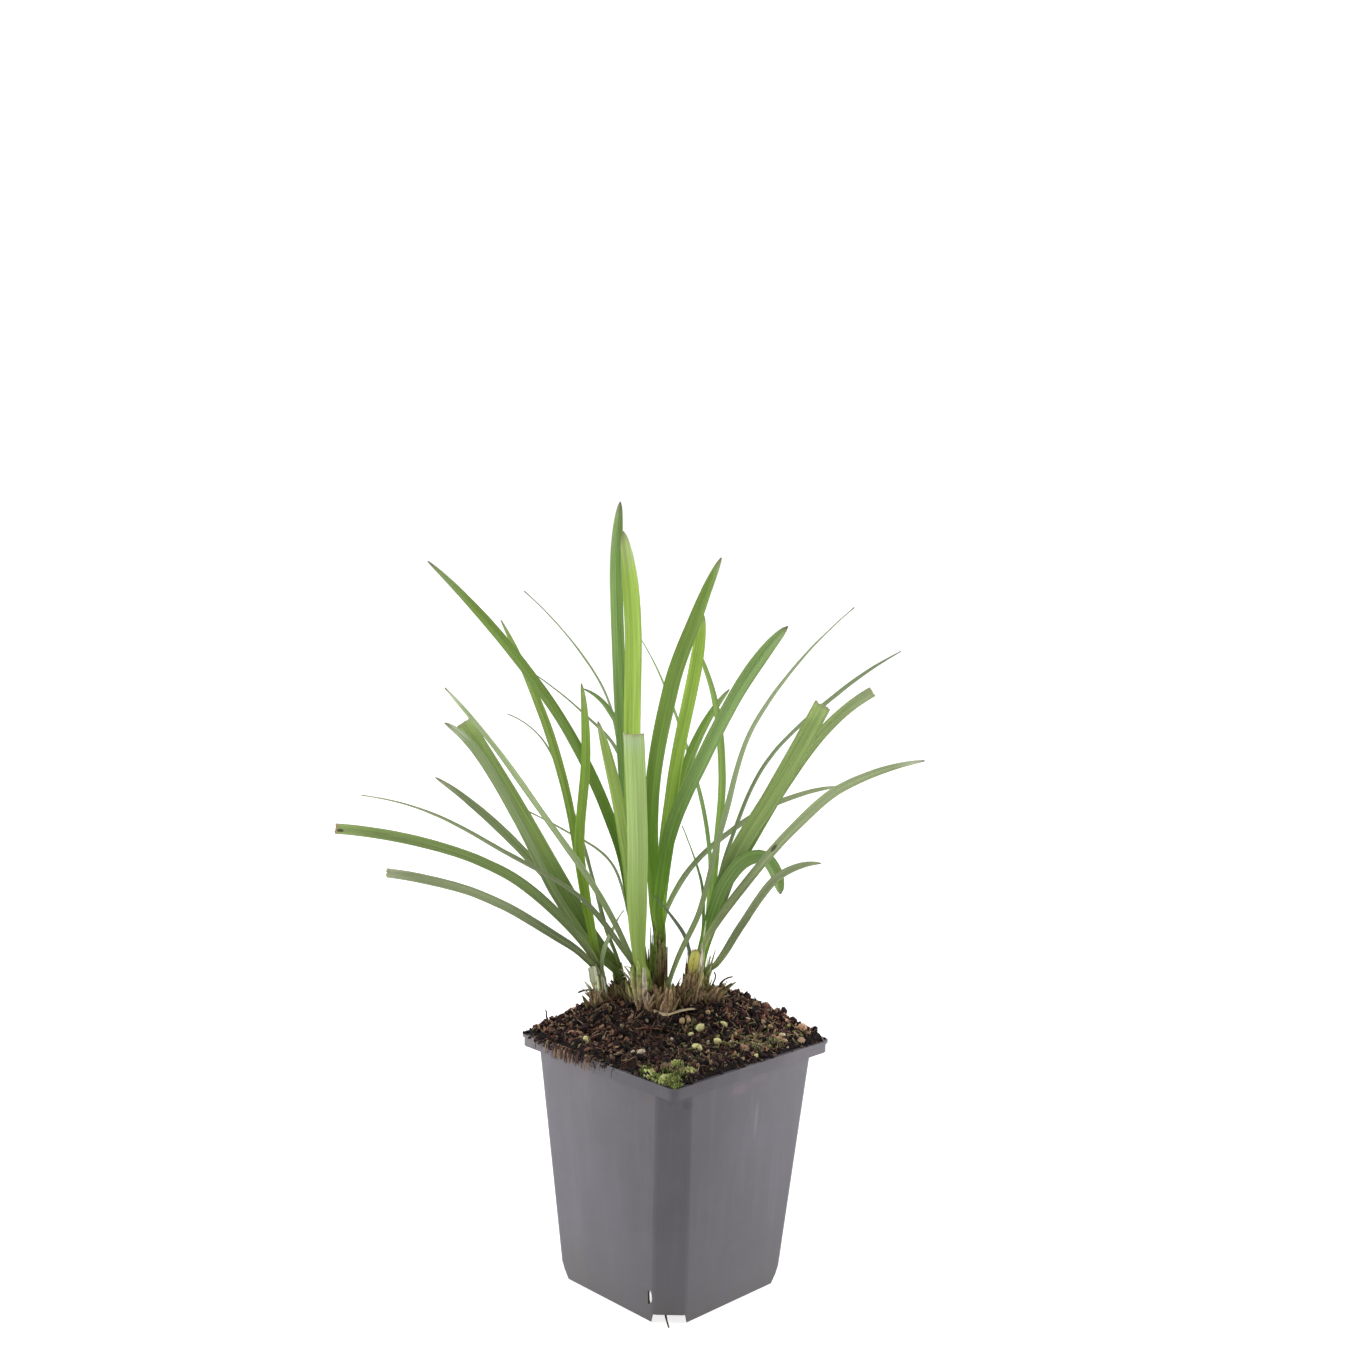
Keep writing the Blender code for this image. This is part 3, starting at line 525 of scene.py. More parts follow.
class Heap:
    """Collects many small closed forms, each with its tint, to be one mesh."""

    def __init__(self):
        self.points = []
        self.faces = []
        self.tints = []
        self.count = 0

    def add(self, points, faces, tint):
        self.points.append(points)
        self.faces.append(np.asarray(faces) + self.count)
        self.tints.append(np.broadcast_to(tint, (len(points), 3)))
        self.count += len(points)

    def piece(self, name, finish, smooth=True):
        faces = [face for block in self.faces for face in block]
        return mesh_piece(name, np.concatenate(self.points) * MM, faces, finish, smooth=smooth,
                          tint=np.concatenate(self.tints))


def ball_template(subdivisions):
    bm = bmesh.new()
    bmesh.ops.create_icosphere(bm, subdivisions=subdivisions, radius=1.0)
    bm.verts.index_update()
    points = np.array([vert.co for vert in bm.verts])
    faces = np.array([[vert.index for vert in face.verts] for face in bm.faces])
    bm.free()
    return points, faces


BALLS = {count: ball_template(count) for count in (1, 2)}


def random_turn():
    """A random rotation matrix."""
    q = RANDOM.normal(size=4)
    w, x, y, z = q / np.linalg.norm(q)
    return np.array([[1 - 2 * (y * y + z * z), 2 * (x * y - z * w), 2 * (x * z + y * w)],
                     [2 * (x * y + z * w), 1 - 2 * (x * x + z * z), 2 * (y * z - x * w)],
                     [2 * (x * z - y * w), 2 * (y * z + x * w), 1 - 2 * (x * x + y * y)]])


def crumb(size, squash=(1, 1, 1), rough=0.22, level=1):
    """A lumpy grain about the origin, its size in millimetres."""
    points, faces = BALLS[level]
    scale = 1 + RANDOM.uniform(-rough, rough, (len(points), 1))
    if level > 1:
        axis = RANDOM.normal(size=(3, 3))
        scale = 1 + rough * np.sin(points @ axis.T * 1.6 + RANDOM.uniform(0, 6, 3)).mean(1)[:, None]
    return points * scale * np.asarray(squash) * size / 2 @ random_turn(), faces


def thread(way, radii, sides=4):
    """A closed tube along points in millimetres, pointed at both ends."""
    way = np.asarray(way, float)
    count = len(way)
    ahead = np.gradient(way, axis=0)
    ahead /= np.linalg.norm(ahead, axis=1)[:, None] + 1e-9
    side = np.cross(ahead, (0.3, 0.2, 1.0))
    side /= np.linalg.norm(side, axis=1)[:, None] + 1e-9
    third = np.cross(ahead, side)
    angles = np.arange(sides) * 2 * pi / sides
    ring = (np.cos(angles)[None, :, None] * side[:, None] + np.sin(angles)[None, :, None] * third[:, None])
    body = way[:, None] + ring * np.asarray(radii)[:, None, None]
    points = np.concatenate([body.reshape(-1, 3), way[:1] - ahead[:1] * radii[0],
                             way[-1:] + ahead[-1:] * radii[-1]])
    faces = []
    for row in range(count - 1):
        for k in range(sides):
            a, b = row * sides + k, row * sides + (k + 1) % sides
            faces += [(a, b, b + sides), (a, b + sides, a + sides)]
    last = (count - 1) * sides
    for k in range(sides):
        after = (k + 1) % sides
        faces += [(count * sides, after, k), (count * sides + 1, last + k, last + after)]
    return points, np.array(faces)


# Paths and straps


def seen(across, height, depth):
    """Move a reading on the upright ruler to its depth along the line of sight, in metres."""
    stretch = 1 + depth * MM / EYE_DISTANCE
    return Vector((across * MM * stretch, depth * MM,
                   EYE_HEIGHT + stretch * (height * MM - EYE_HEIGHT)))


def mirrored(direction, axis):
    return axis * (2 * direction.dot(axis)) - direction


def smooth_path(points, count, leave=None):
    """Evenly spaced points on a smooth curve that bends on to its ends as it does before them."""
    chords = [(there - here).normalized() for here, there in zip(points, points[1:])]
    middle = [(there - here).normalized() for here, there in zip(points, points[2:])]
    first = leave or mirrored(middle[0], chords[0])
    headings = [first] + middle + [mirrored(middle[-1], chords[-1])]
    fine = []
    for index in range(len(chords)):
        here, there = points[index], points[index + 1]
        pull = (there - here).length / 3
        fine += interpolate_bezier(here, here + headings[index] * pull,
                                   there - headings[index + 1] * pull, there, 24)[bool(index):]
    fine = np.array(fine)
    reach = np.r_[0, np.cumsum(np.linalg.norm(np.diff(fine, axis=0), axis=1))]
    spots = np.linspace(0, reach[-1], count + 1)
    even = np.stack([np.interp(spots, reach, fine[:, axis]) for axis in range(3)], axis=1)
    return [Vector(spot) for spot in even], reach[-1]


def leaf_points(leaf, start):
    """Way points from the crown to the tip, their depth growing evenly along the leaf."""
    ruler = [Vector(point) for point in leaf.way]
    first = Vector((start.x / MM, start.z / MM))
    lengths = [(here - there).length for here, there in zip([first] + ruler, ruler)]
    total = sum(lengths)
    run = 0.0
    points = [start]
    for reading, length in zip(ruler, lengths):
        run += length
        depth = start.y / MM + (leaf.tip_depth - start.y / MM) * (run / total) ** DEPTH_BEND
        points.append(seen(reading.x, reading.y, depth))
    return points


def width_share(share, tip):
    """Width of a blade along its length, as a share of its full width."""
    grown = min(1.0, share / BASE_RUN)
    body = BASE_SHARE + (1 - BASE_SHARE) * grown * grown * (3 - 2 * grown)
    if tip == CUT:
        return body
    begin = {WISP: WISP_FROM, POINTED: POINT_FROM, BLUNT: BLUNT_FROM}[tip]
    if share <= begin:
        return body
    close = (share - begin) / (1 - begin)
    if tip == WISP:
        return body * (1 - close ** 1.6)
    return body * sqrt(max(0.0, 1 - close ** 2.2))


def strap(name, points, leaf, finish, leave=None, seed=0, thickness=LEAF_THICKNESS,
          columns=LEAF_COLUMNS, base_fold=BASE_FOLD, rough_edge=0.0):
    """A blade with a rounded fold, thin edges and slightly wavy sides, as one closed mesh."""
    length = sum((b - a).length for a, b in zip(points, points[1:]))
    count = max(14, round(length / MM / ROW_LENGTH))
    rows, length = smooth_path(points, count, leave)
    eye = Vector((0, -EYE_DISTANCE, EYE_HEIGHT))
    us = np.sin(np.linspace(-pi / 2, pi / 2, columns))
    back = 180 if abs(leaf.turn) > 90 else 0
    verts, straps, sides = [], [], []
    width = leaf.width * MM
    for index, here in enumerate(rows):
        share = index / count
        ahead = (rows[min(index + 1, count)] - rows[max(index - 1, 0)]).normalized()
        facing = eye - here
        facing = (facing - ahead * facing.dot(ahead)).normalized()
        settled = min(1.0, share / TURN_RUN)
        sway = noise.noise(Vector((share * 5.0, seed * 3.7, 0.5))) * 9 * settled
        angle = radians((leaf.turn - back) * settled + back + sway)
        normal = Matrix.Rotation(angle, 3, ahead) @ facing
        outward = ahead.cross(normal)
        half = width * width_share(share, leaf.tip) / 2
        half = max(half, 0.24 * MM / max(0.45, abs(cos(radians(leaf.turn)))))
        wobble = noise.noise(Vector((share * 9.0, seed * 1.3, 4.0))) * 0.12 * MM * settled
        here = here + outward * wobble
        low = max(0.0, 1 - share / 0.22)
        fold = FOLD + base_fold * low * low
        for layer in (1, 0):
            for u in (us if layer else us[::-1]):
                ridge = (sqrt(u * u + 0.035) - sqrt(0.035)) * fold * 2 * half
                ripple = 0.0
                if abs(u) > 0.7:
                    ripple = noise.noise(Vector((share * 22.0, seed * 2.1, u * 2))) * 0.10 * MM
                thin = thickness * MM * (1 - 0.72 * u * u) / 2
                thin *= 1 if leaf.tip == CUT else max(0.25, 1 - max(0.0, share - 0.9) * 7)
                slip = Vector((0, 0, 0))
                if index == count and leaf.tip == CUT:
                    slip = ahead * noise.noise(Vector((u * 3.0, seed, 9.0))) * 0.9 * MM
                if rough_edge and share > 0.6:
                    ragged = noise.noise(Vector((u * 2.6, seed, 3.0))) * rough_edge * MM
                    slip = slip + ahead * ragged * (share - 0.6) / 0.4
                spot = here + outward * (half * u) + normal * (ridge + ripple) + slip
                spot = spot + normal * (thin if layer else -thin)
                verts.append(spot)
                straps.append((u * half / MM, share, share * length / MM))
                sides.append((abs(u), layer, 0.0))
    ring = 2 * columns
    faces = []
    for row in range(count):
        for k in range(ring):
            a, b = row * ring + k, row * ring + (k + 1) % ring
            faces.append((a, a + ring, b + ring, b))
    for row, flip in ((0, False), (count, True)):
        base = row * ring
        for k in range(columns - 1):
            quad = (base + k, base + k + 1, base + ring - 2 - k, base + ring - 1 - k)
            faces.append(quad[::-1] if flip else quad)
    return mesh_piece(name, verts, faces, finish, strap=straps, side=sides)


def crown_leaves():
    """Each leaf with its name and its starting point on top of its crown."""
    for key, crown in CROWNS.items():
        own = [leaf for leaf in LEAVES if leaf.crown == key]
        for index, leaf in enumerate(own):
            place = (index - (len(own) - 1) / 2) * BLADE_SPACING
            start = Vector((crown.head[0] + leaf.across, crown.head[1] + place,
                            crown.head[2] + LEAF_LIFT)) * MM
            yield f"leaf_{key}_{index + 1}", leaf, start


def make_leaves():
    for number, (name, leaf, start) in enumerate(crown_leaves()):
        finish = leaf_material(name, leaf.look, leaf.tip, number * 7.3, CROWNS[leaf.crown].lift)
        made = strap(name + "_blade", leaf_points(leaf, start), leaf, finish, UP, number)
        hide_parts(name)


def make_sheaths():
    for number, (name, sheath) in enumerate(SHEATHS.items()):
        crown = CROWNS[sheath.crown]
        start = Vector((crown.head[0] + sheath.across, sheath.tip_depth + 0.4,
                        crown.head[2] + LEAF_LIFT)) * MM
        finish = leaf_material(name, sheath.look, sheath.tip, 300 + number)
        made = strap(name + "_husk", leaf_points(sheath, start), sheath, finish, UP, 50 + number,
                     rough_edge=2.4, base_fold=0.3)
        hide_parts(name)


def make_straw():
    points = [Vector((x, y, soil_height(x, y) + STRAW_LIFT)) * MM for x, y in STRAW_WAY]
    look = Leaf("", 0, (), 0, 2.2, -65, BLUNT, "straw")
    finish = leaf_material("straw", "straw", BLUNT, 401)
    made = strap("straw_blade", points, look, finish, None, 61, rough_edge=0.8, base_fold=0.0)
    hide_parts("straw")


# Crowns


def make_crowns():
    finish = fibre_material("crown_fibre")
    for number, (name, crown) in enumerate(CROWNS.items()):
        heap = Heap()
        crown_core(heap, crown, number)
        crown_scales(heap, crown)
        made = heap.piece(f"crown_{name}_bases", finish)
        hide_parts(f"crown_{name}")


def crown_at(crown, share, angle, grow=0.0):
    """A place on the side of a crown, in millimetres."""
    x = crown.foot[0] + (crown.head[0] - crown.foot[0]) * share
    y = crown.foot[1] + (crown.head[1] - crown.foot[1]) * share
    reach_x = crown.size[0] + (crown.reach - crown.size[0]) * share + grow
    reach_y = crown.size[1] * (1 - CROWN_NARROWING * share) + grow
    z = CROWN_FOOT + (crown.head[2] - CROWN_FOOT) * share
    return np.array((x + cos(angle) * reach_x, y + sin(angle) * reach_y, z))


def crown_core(heap, crown, number):
    """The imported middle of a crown, fluted by the leaf bases in it."""
    sides, rows = 40, 16
    points = []
    for row in range(rows + 1):
        share = row / rows
        for k in range(sides):
            angle = 2 * pi * k / sides
            flute = noise.noise(Vector((cos(angle) * 2.4, sin(angle) * 2.4, number * 5 + share * 0.8)))
            points.append(crown_at(crown, share, angle, -0.5 + 0.55 * flute - 0.5 * share ** 4))
    points += [crown_at(crown, 0, 0) * (0, 0, 1) + (*crown.foot, 0),
               np.array((crown.head[0], crown.head[1], crown.head[2] + 0.4))]
    faces = []
    for row in range(rows):
        for k in range(sides):
            a, b = row * sides + k, row * sides + (k + 1) % sides
            faces += [(a, b, b + sides), (a, b + sides, a + sides)]
    last = rows * sides
    for k in range(sides):
        after = (k + 1) % sides
        faces += [(len(points) - 2, after, k), (len(points) - 1, last + k, last + after)]
    colours = BASES[crown.look]
    heap.add(np.array(points), faces, np.array(linear(colours[2])) * 0.8)


def crown_scales(heap, crown):
    """Old leaf bases that wrap the crown, overlapping, with torn tips of several lengths."""
    around = int(10 + 3.2 * (crown.size[0] + crown.size[1]))
    colours = [np.array(linear(colour)) for colour in BASES[crown.look]]
    rise = crown.head[2] - CROWN_FOOT
    for index in range(around):
        angle = 2 * pi * (index + RANDOM.uniform(-0.4, 0.4)) / around
        low = RANDOM.uniform(0.0, 0.3)
        high = RANDOM.uniform(0.62, 1.05)
        if RANDOM.random() < 0.5:
            high = 1 + RANDOM.uniform(1.0, 8.0) / rise
        width = RANDOM.uniform(1.1, 2.6)
        tint = colours[RANDOM.choice(4, p=(0.4, 0.3, 0.15, 0.15))] * RANDOM.uniform(0.75, 1.15)
        scale_strip(heap, crown, angle, low, high, width, tint, colours[4], RANDOM.uniform(0.05, 0.5))
    for index in range(around):
        angle = RANDOM.uniform(0, 2 * pi)
        bend = RANDOM.uniform(-0.5, 0.5)
        shares = np.linspace(RANDOM.uniform(0, 0.5), RANDOM.uniform(0.7, 1.15), 6)
        way = [crown_at(crown, share, angle + bend * share, 0.5 + 0.8 * share ** 3) for share in shares]
        points, faces = thread(way, np.linspace(0.16, 0.07, 6), 4)
        heap.add(points, faces, colours[3] * RANDOM.uniform(0.7, 1.1))


def scale_strip(heap, crown, angle, low, high, width, tint, fresh, lift):
    """One clasping scale: a thin closed strip that follows the crown and frays at its tip."""
    rows, columns = 9, 5
    twist = RANDOM.uniform(-0.35, 0.35)
    outer, inner = [], []
    spots = np.linspace(-1, 1, columns)
    jag = RANDOM.uniform(-0.1, 0.1, columns)
    for row in range(rows + 1):
        step = row / rows
        for k, u in enumerate(spots):
            share = low + (high - low + jag[k] * (step > 0.7)) * step
            body = (1 - 0.55 * step ** 2.5) if step < 0.999 else 0.2
            radius = crown.size[0] + (crown.reach - crown.size[0]) * min(share, 1)
            spread = width * body * u / (2 * max(radius, 1.4))
            grow = lift * (0.4 + step ** 2.2) + 0.12
            spot = crown_at(crown, share, angle + spread + twist * step, grow - 0.12 * u * u)
            middle = crown_at(crown, share, angle, -4.0)
            way = spot - middle
            way /= np.linalg.norm(way)
            outer.append(spot + way * 0.08)
            inner.append(spot - way * 0.1)
    points = np.array(outer + inner)
    faces = sheet_faces(rows, columns)
    steps = np.linspace(0, 1, rows + 1)
    green = np.clip((low + (high - low) * steps - 0.55) / 0.4, 0, 1)[:, None]
    tints = (tint * (1 - green) + fresh * green) * (0.75 + 0.35 * steps[:, None])
    heap.add(points, faces, np.tile(tints.repeat(columns, axis=0), (2, 1)))


# Dry sheaths and husks between the crowns, from the soil to their torn tips: depth in millimetres,
# ruler readings, width, and the colours low down and at the tip
HUSKS = (
    (15, ((-28.6, 114), (-29, 120.1), (-30.3, 125)), 1.3, "cream", "cream"),
    (16, ((-30, 115), (-31.2, 125.7), (-32.8, 128.8)), 1.2, "olive", "cream"),
    (17, ((-26, 113.5), (-29, 118.2), (-31.5, 119.8)), 1.6, "brown", "olive"),
    (18, ((-22, 111.5), (-27.2, 117.5), (-31.1, 119.5)), 1.8, "dark", "brown"),
    (16, ((-24, 112), (-28, 116), (-33, 117.5)), 1.5, "brown", "tan"),
    (21.5, ((-21.5, 113), (-23.5, 117), (-25.8, 121.5)), 2.2, "dark", "olive"),
    (21, ((-20, 112.5), (-22.3, 118.5), (-24.6, 123.2)), 2.4, "moss", "moss"),
    (20.5, ((-18.8, 112.5), (-20.3, 118.5), (-22.2, 123.5)), 2.4, "dark", "moss"),
    (19.5, ((-17.2, 112), (-18.4, 118), (-20.4, 122.8)), 2.2, "brown", "moss"),
    (18, ((-17, 112), (-21, 115), (-25.3, 118)), 2.0, "brown", "tan"),
    (17, ((-16, 111.5), (-22, 114.5), (-28, 118.6)), 1.6, "dark", "brown"),
    (12, ((-15.8, 114), (-17.5, 122.5), (-19.1, 125.9), (-21.4, 128.7)), 1.5, "tan", "pale"),
    (12.5, ((-15.6, 118), (-17.6, 124), (-18.6, 127.7), (-20.7, 128.4)), 1.1, "pale", "pale"),
    (6.5, ((-13.8, 110.5), (-15.6, 116), (-16.9, 121.5), (-17.6, 129)), 2.6, "pink", "green"),
    (6, ((-12.2, 110), (-13.6, 116), (-14.6, 122), (-15.6, 131)), 3.0, "pink", "green"),
    (6, ((-10.6, 110), (-12, 115.5), (-12.9, 121), (-13.4, 128)), 2.6, "pink", "pale"),
    (6.5, ((-9.4, 110.5), (-10.6, 114), (-11.6, 118)), 2.2, "red", "pink"),
    (7.5, ((-14.9, 110.5), (-16.4, 114), (-17.4, 118.5)), 1.8, "red", "tan"),
    (6.2, ((-11.4, 112), (-12.3, 119), (-12.9, 127.6)), 1.0, "pale", "pale"),
    (8, ((-8.6, 111), (-9.4, 114.5), (-10.2, 118.5)), 1.6, "brown", "pink"),
    (18, ((-9.6, 114.5), (-10, 118), (-10.6, 122)), 2.0, "dark", "moss"),
    (19, ((-8.2, 115), (-8.6, 119), (-9.4, 125)), 2.4, "moss", "moss"),
    (20.6, ((-9.4, 115.5), (-9.9, 126), (-10.2, 138)), 1.8, "moss", "olive"),
    (20.4, ((-8, 115.5), (-8.4, 127), (-8.8, 140)), 2.4, "olive", "green"),
    (20.4, ((-6.4, 115), (-6.5, 126), (-6.8, 138)), 2.0, "red", "brown"),
    (20.8, ((-5.4, 115), (-5.5, 122), (-5.9, 131)), 1.2, "dark", "red"),
    (19, ((-4.2, 114.5), (-4.2, 119.7), (-4.8, 125.6)), 1.8, "moss", "olive"),
    (18, ((-3, 114), (-2.8, 119.5), (-3.9, 124.9)), 1.6, "olive", "green"),
    (15, ((-5.6, 113.3), (-4.6, 117), (-4.2, 121)), 2.0, "dark", "moss"),
    (5.6, ((-4.6, 110.2), (-4.2, 113.5), (-3.6, 117.5)), 1.7, "moss", "olive"),
    (5.4, ((-3.3, 110.2), (-3, 113.5), (-2.7, 117)), 1.6, "brown", "olive"),
    (5.8, ((-2.2, 110.5), (-1.9, 114), (-1.8, 118.5)), 1.4, "dark", "moss"),
    (15, ((-2.7, 112.6), (-1, 118.3), (1.6, 124)), 1.6, "brown", "olive"),
    (15.5, ((-1, 113), (1.2, 118.8), (3.9, 126)), 2.0, "brown", "tan"),
    (16, ((0, 113.5), (0.8, 118), (0.6, 122.5)), 1.6, "moss", "olive"),
    (14, ((1, 113), (2.4, 118.5), (3.4, 123)), 2.2, "red", "brown"),
    (13.5, ((2.4, 113), (3.3, 119), (4.9, 127)), 2.2, "brown", "tan"),
    (19.6, ((-9.6, 117), (-9.2, 132), (-9.1, 147)), 2.4, "moss", "green"),
    (19.8, ((-6.6, 117), (-6.8, 130), (-7.3, 143)), 2.2, "brown", "olive"),
    (18, ((-30, 114), (-31.4, 119), (-33.4, 125)), 1.8, "olive", "cream"),
    (17, ((-31.5, 115), (-33.2, 121), (-36, 127.5)), 1.6, "tan", "cream"),
    (16.5, ((-29.5, 113.5), (-30.2, 118), (-30.6, 122.5)), 1.8, "tan", "cream"),
    (17, ((-32.6, 114.5), (-34.6, 118.5), (-37.4, 122)), 1.4, "olive", "cream"),
    (15, ((-27.5, 112.5), (-28.6, 116.5), (-30.6, 120)), 2.0, "brown", "olive"),
    (16.5, ((-25.5, 112), (-25.8, 116), (-26.8, 121)), 2.4, "tan", "moss"),
    (15.5, ((-23, 111.5), (-23.6, 116), (-25, 121)), 2.2, "dark", "olive"),
    (15, ((-20.6, 111), (-20.9, 116), (-22, 122)), 2.4, "brown", "moss"),
    (14, ((-18.4, 111), (-19, 116), (-20.4, 123)), 2.2, "tan", "olive"),
    (12.6, ((9.6, 126), (10.3, 136), (11.4, 148)), 1.3, "pale", "mint"),
    (11.6, ((8.8, 114), (9.6, 121), (10.2, 129)), 2.2, "tan", "olive"),
    (11.8, ((3.6, 112), (3, 118), (3.4, 124)), 2.0, "brown", "olive"),
    (11, ((2.4, 112), (1.4, 117), (0.8, 121.5)), 2.0, "tan", "brown"),
    (9, ((0.6, 111), (-0.4, 116), (-0.8, 121)), 2.0, "brown", "olive"),
    (7, ((-0.8, 110.5), (-1.4, 115), (-1.2, 120)), 2.0, "olive", "brown"),
    (6, ((-6.4, 110.4), (-6.6, 115), (-6.2, 120)), 2.2, "brown", "olive"),
    (7, ((-7.6, 110.6), (-8, 115), (-8.2, 121)), 2.0, "olive", "tan"),
    (5.2, ((-5.2, 110), (-4.6, 114), (-3.6, 120)), 1.8, "brown", "tan"),
    (4.8, ((-2.8, 109.8), (-2.4, 114), (-2.2, 120.5)), 1.8, "olive", "tan"),
    (5.0, ((-3.9, 109.8), (-3.6, 113), (-3.0, 117.5)), 2.0, "dark", "brown"),
    (13.2, ((4.4, 118), (5.3, 126), (6.6, 132.5)), 1.4, "tan", "gold"),
    (13.0, ((7.6, 118), (8.7, 127), (9.5, 134)), 1.2, "brown", "gold"),
    (12.6, ((3.9, 116), (4.8, 122.5), (5.8, 127.5)), 1.2, "red", "tan"),
    (13.2, ((3.6, 113), (4.7, 118), (5.3, 123)), 2.4, "tan", "pink"),
    (12.8, ((5, 113), (5.8, 119.5), (7.2, 126)), 2.6, "red", "pink"),
    (12.6, ((6.2, 113), (7.4, 118.5), (8.4, 122.8)), 2.2, "pink", "tan"),
    (12.8, ((7.6, 113), (8.6, 117.5), (8.9, 121.5), (7.9, 125)), 1.6, "dark", "red"),
    (12.9, ((8.4, 113), (9.6, 118.5), (9.7, 124), (10.4, 131), (11.2, 141)), 1.3, "tan", "mint"),
    (13, ((9.8, 113.2), (10.7, 117.5), (10.8, 122.4)), 1.6, "tan", "pink"),
    (13.4, ((11, 113.5), (12.4, 117.5), (12.6, 121)), 1.8, "dark", "brown"),
    (13.6, ((12, 113.8), (13.6, 118.5), (15.4, 121.3)), 1.8, "brown", "tan"),
    (14, ((13, 114), (15.4, 118.2), (18.4, 120.3)), 1.6, "olive", "tan"),
    (16, ((11, 117), (12.4, 122.5), (13.3, 126.8)), 1.8, "tan", "green"),
    (17, ((12.6, 125), (14, 131), (15.5, 136.3)), 1.0, "pale", "green"),
    (16, ((13, 114.5), (16.5, 116.8), (20.1, 118.8)), 1.4, "brown", "tan"),
    (14, ((14, 113.5), (17, 115.5), (21, 117.6)), 1.2, "olive", "tan"),
)
HUSK_TINTS = {"cream": (236, 238, 206), "pale": (234, 226, 206), "tan": (208, 178, 140),
              "pink": (214, 180, 150), "brown": (162, 130, 100), "red": (146, 106, 88),
              "olive": (154, 148, 94), "moss": (120, 120, 72), "dark": (100, 82, 64),
              "green": (164, 190, 98), "gold": (236, 226, 122),
              "mint": (218, 230, 182)}


# Line through the crowns along which short husks stand, x and y in the plant's frame
HUSK_BAND = ((-33, 17), (-28, 16), (-22, 21), (-17, 12), (-12, 5.5), (-8, 10), (-4, 5.5), (1, 12),
             (6, 12), (12, 14), (17, 19))


def make_husks():
    """Each husk of the table with two narrower ones beside it, and short ones all along."""
    heap = Heap()
    for depth, way, width, low, high in HUSKS:
        colours = [np.array(linear(HUSK_TINTS[key])) for key in (low, high)]
        husk(heap, [seen(a, h, depth + 0.15 * step) / MM for step, (a, h) in enumerate(way)],
             width * 1.2, colours)
        for _ in range(2):
            away = RANDOM.uniform(-1, 1)
            reach = RANDOM.uniform(0.55, 0.95)
            moved = [(a + away * (1 + 0.5 * step), way[0][1] + (h - way[0][1]) * reach)
                     for step, (a, h) in enumerate(way)]
            blend = RANDOM.uniform(0.6, 1.2, 2)
            back = depth + RANDOM.uniform(0, 2.5)
            husk(heap, [seen(a, h, back) / MM for a, h in moved], width * RANDOM.uniform(0.4, 0.8),
                 [colours[0] * blend[0], colours[1] * blend[1]])
    band = np.array(HUSK_BAND, float)
    keys = ("tan", "brown", "olive", "red", "pink", "dark", "moss")
    for _ in range(430):
        spot = RANDOM.uniform(0, len(band) - 1)
        before = int(spot)
        x, y = band[before] + (band[before + 1] - band[before]) * (spot - before)
        if -15.5 < x < -9.5 and RANDOM.random() < 0.7:
            continue
        x, y = x + RANDOM.normal(0, 1.2), y + RANDOM.normal(0, 1.8)
        length = RANDOM.uniform(3.5, 9.0) * (1 - abs(x + 7) / 90)
        lean = (x + 7) * 0.022 + RANDOM.normal(0, 0.24)
        forward = RANDOM.normal(-0.06, 0.16)
        foot = np.array((x, y, ground(x, y) - 0.6))
        bend = RANDOM.normal(0, 0.09, 2)
        way = [foot, foot + (lean * length * 0.4, forward * length * 0.4, length * 0.5),
               foot + ((lean + bend[0]) * length, (forward + bend[1]) * length, length)]
        low, high = RANDOM.choice(7, 2, p=(0.22, 0.22, 0.18, 0.1, 0.1, 0.08, 0.1))
        light = RANDOM.uniform(0.6, 1.2)
        husk(heap, [Vector(place) for place in way], RANDOM.uniform(0.9, 2.4),
             [np.array(linear(HUSK_TINTS[keys[pick]])) * light for pick in (low, high)])
    made = heap.piece("dry_husks", fibre_material("husk_fibre"))


def husk(heap, spots, width, colours):
    """A thin closed strip along places in millimetres, cupped across, with a ragged tip."""
    rows, columns = 12, 5
    line, _ = smooth_path([spot * MM for spot in spots], rows)
    turn = radians(RANDOM.uniform(-35, 35))
    jag = RANDOM.uniform(-0.9, 0.9, columns)
    grain = RANDOM.uniform(-0.12, 0.12, (rows + 1, 2))
    eye = Vector((0, -EYE_DISTANCE, EYE_HEIGHT))
    front, back = [], []
    for row, here in enumerate(line):
        share = row / rows
        ahead = (line[min(row + 1, rows)] - line[max(row - 1, 0)]).normalized()
        facing = eye - here
        facing = (facing - ahead * facing.dot(ahead)).normalized()
        normal = Matrix.Rotation(turn * (1 + share), 3, ahead) @ facing
        outward = ahead.cross(normal)
        half = width * MM / 2 * (1 - 0.75 * share ** 2.2)
        for k, u in enumerate(np.linspace(-1, 1, columns)):
            loose = 1 + (grain[row, 0] if u < 0 else grain[row, 1])
            spot = here + outward * half * u * loose - normal * 0.35 * half * u * u
            spot = spot + ahead * jag[k] * MM * max(0.0, share - 0.7) * 2
            front.append(spot + normal * 0.07 * MM)
            back.append(spot - normal * 0.07 * MM)
    steps = np.linspace(0, 1, rows + 1)[:, None]
    tints = colours[0] * (1 - steps) + colours[1] * steps
    heap.add(np.array(front + back) / MM, sheet_faces(rows, columns),
             np.tile(tints.repeat(columns, axis=0), (2, 1)))


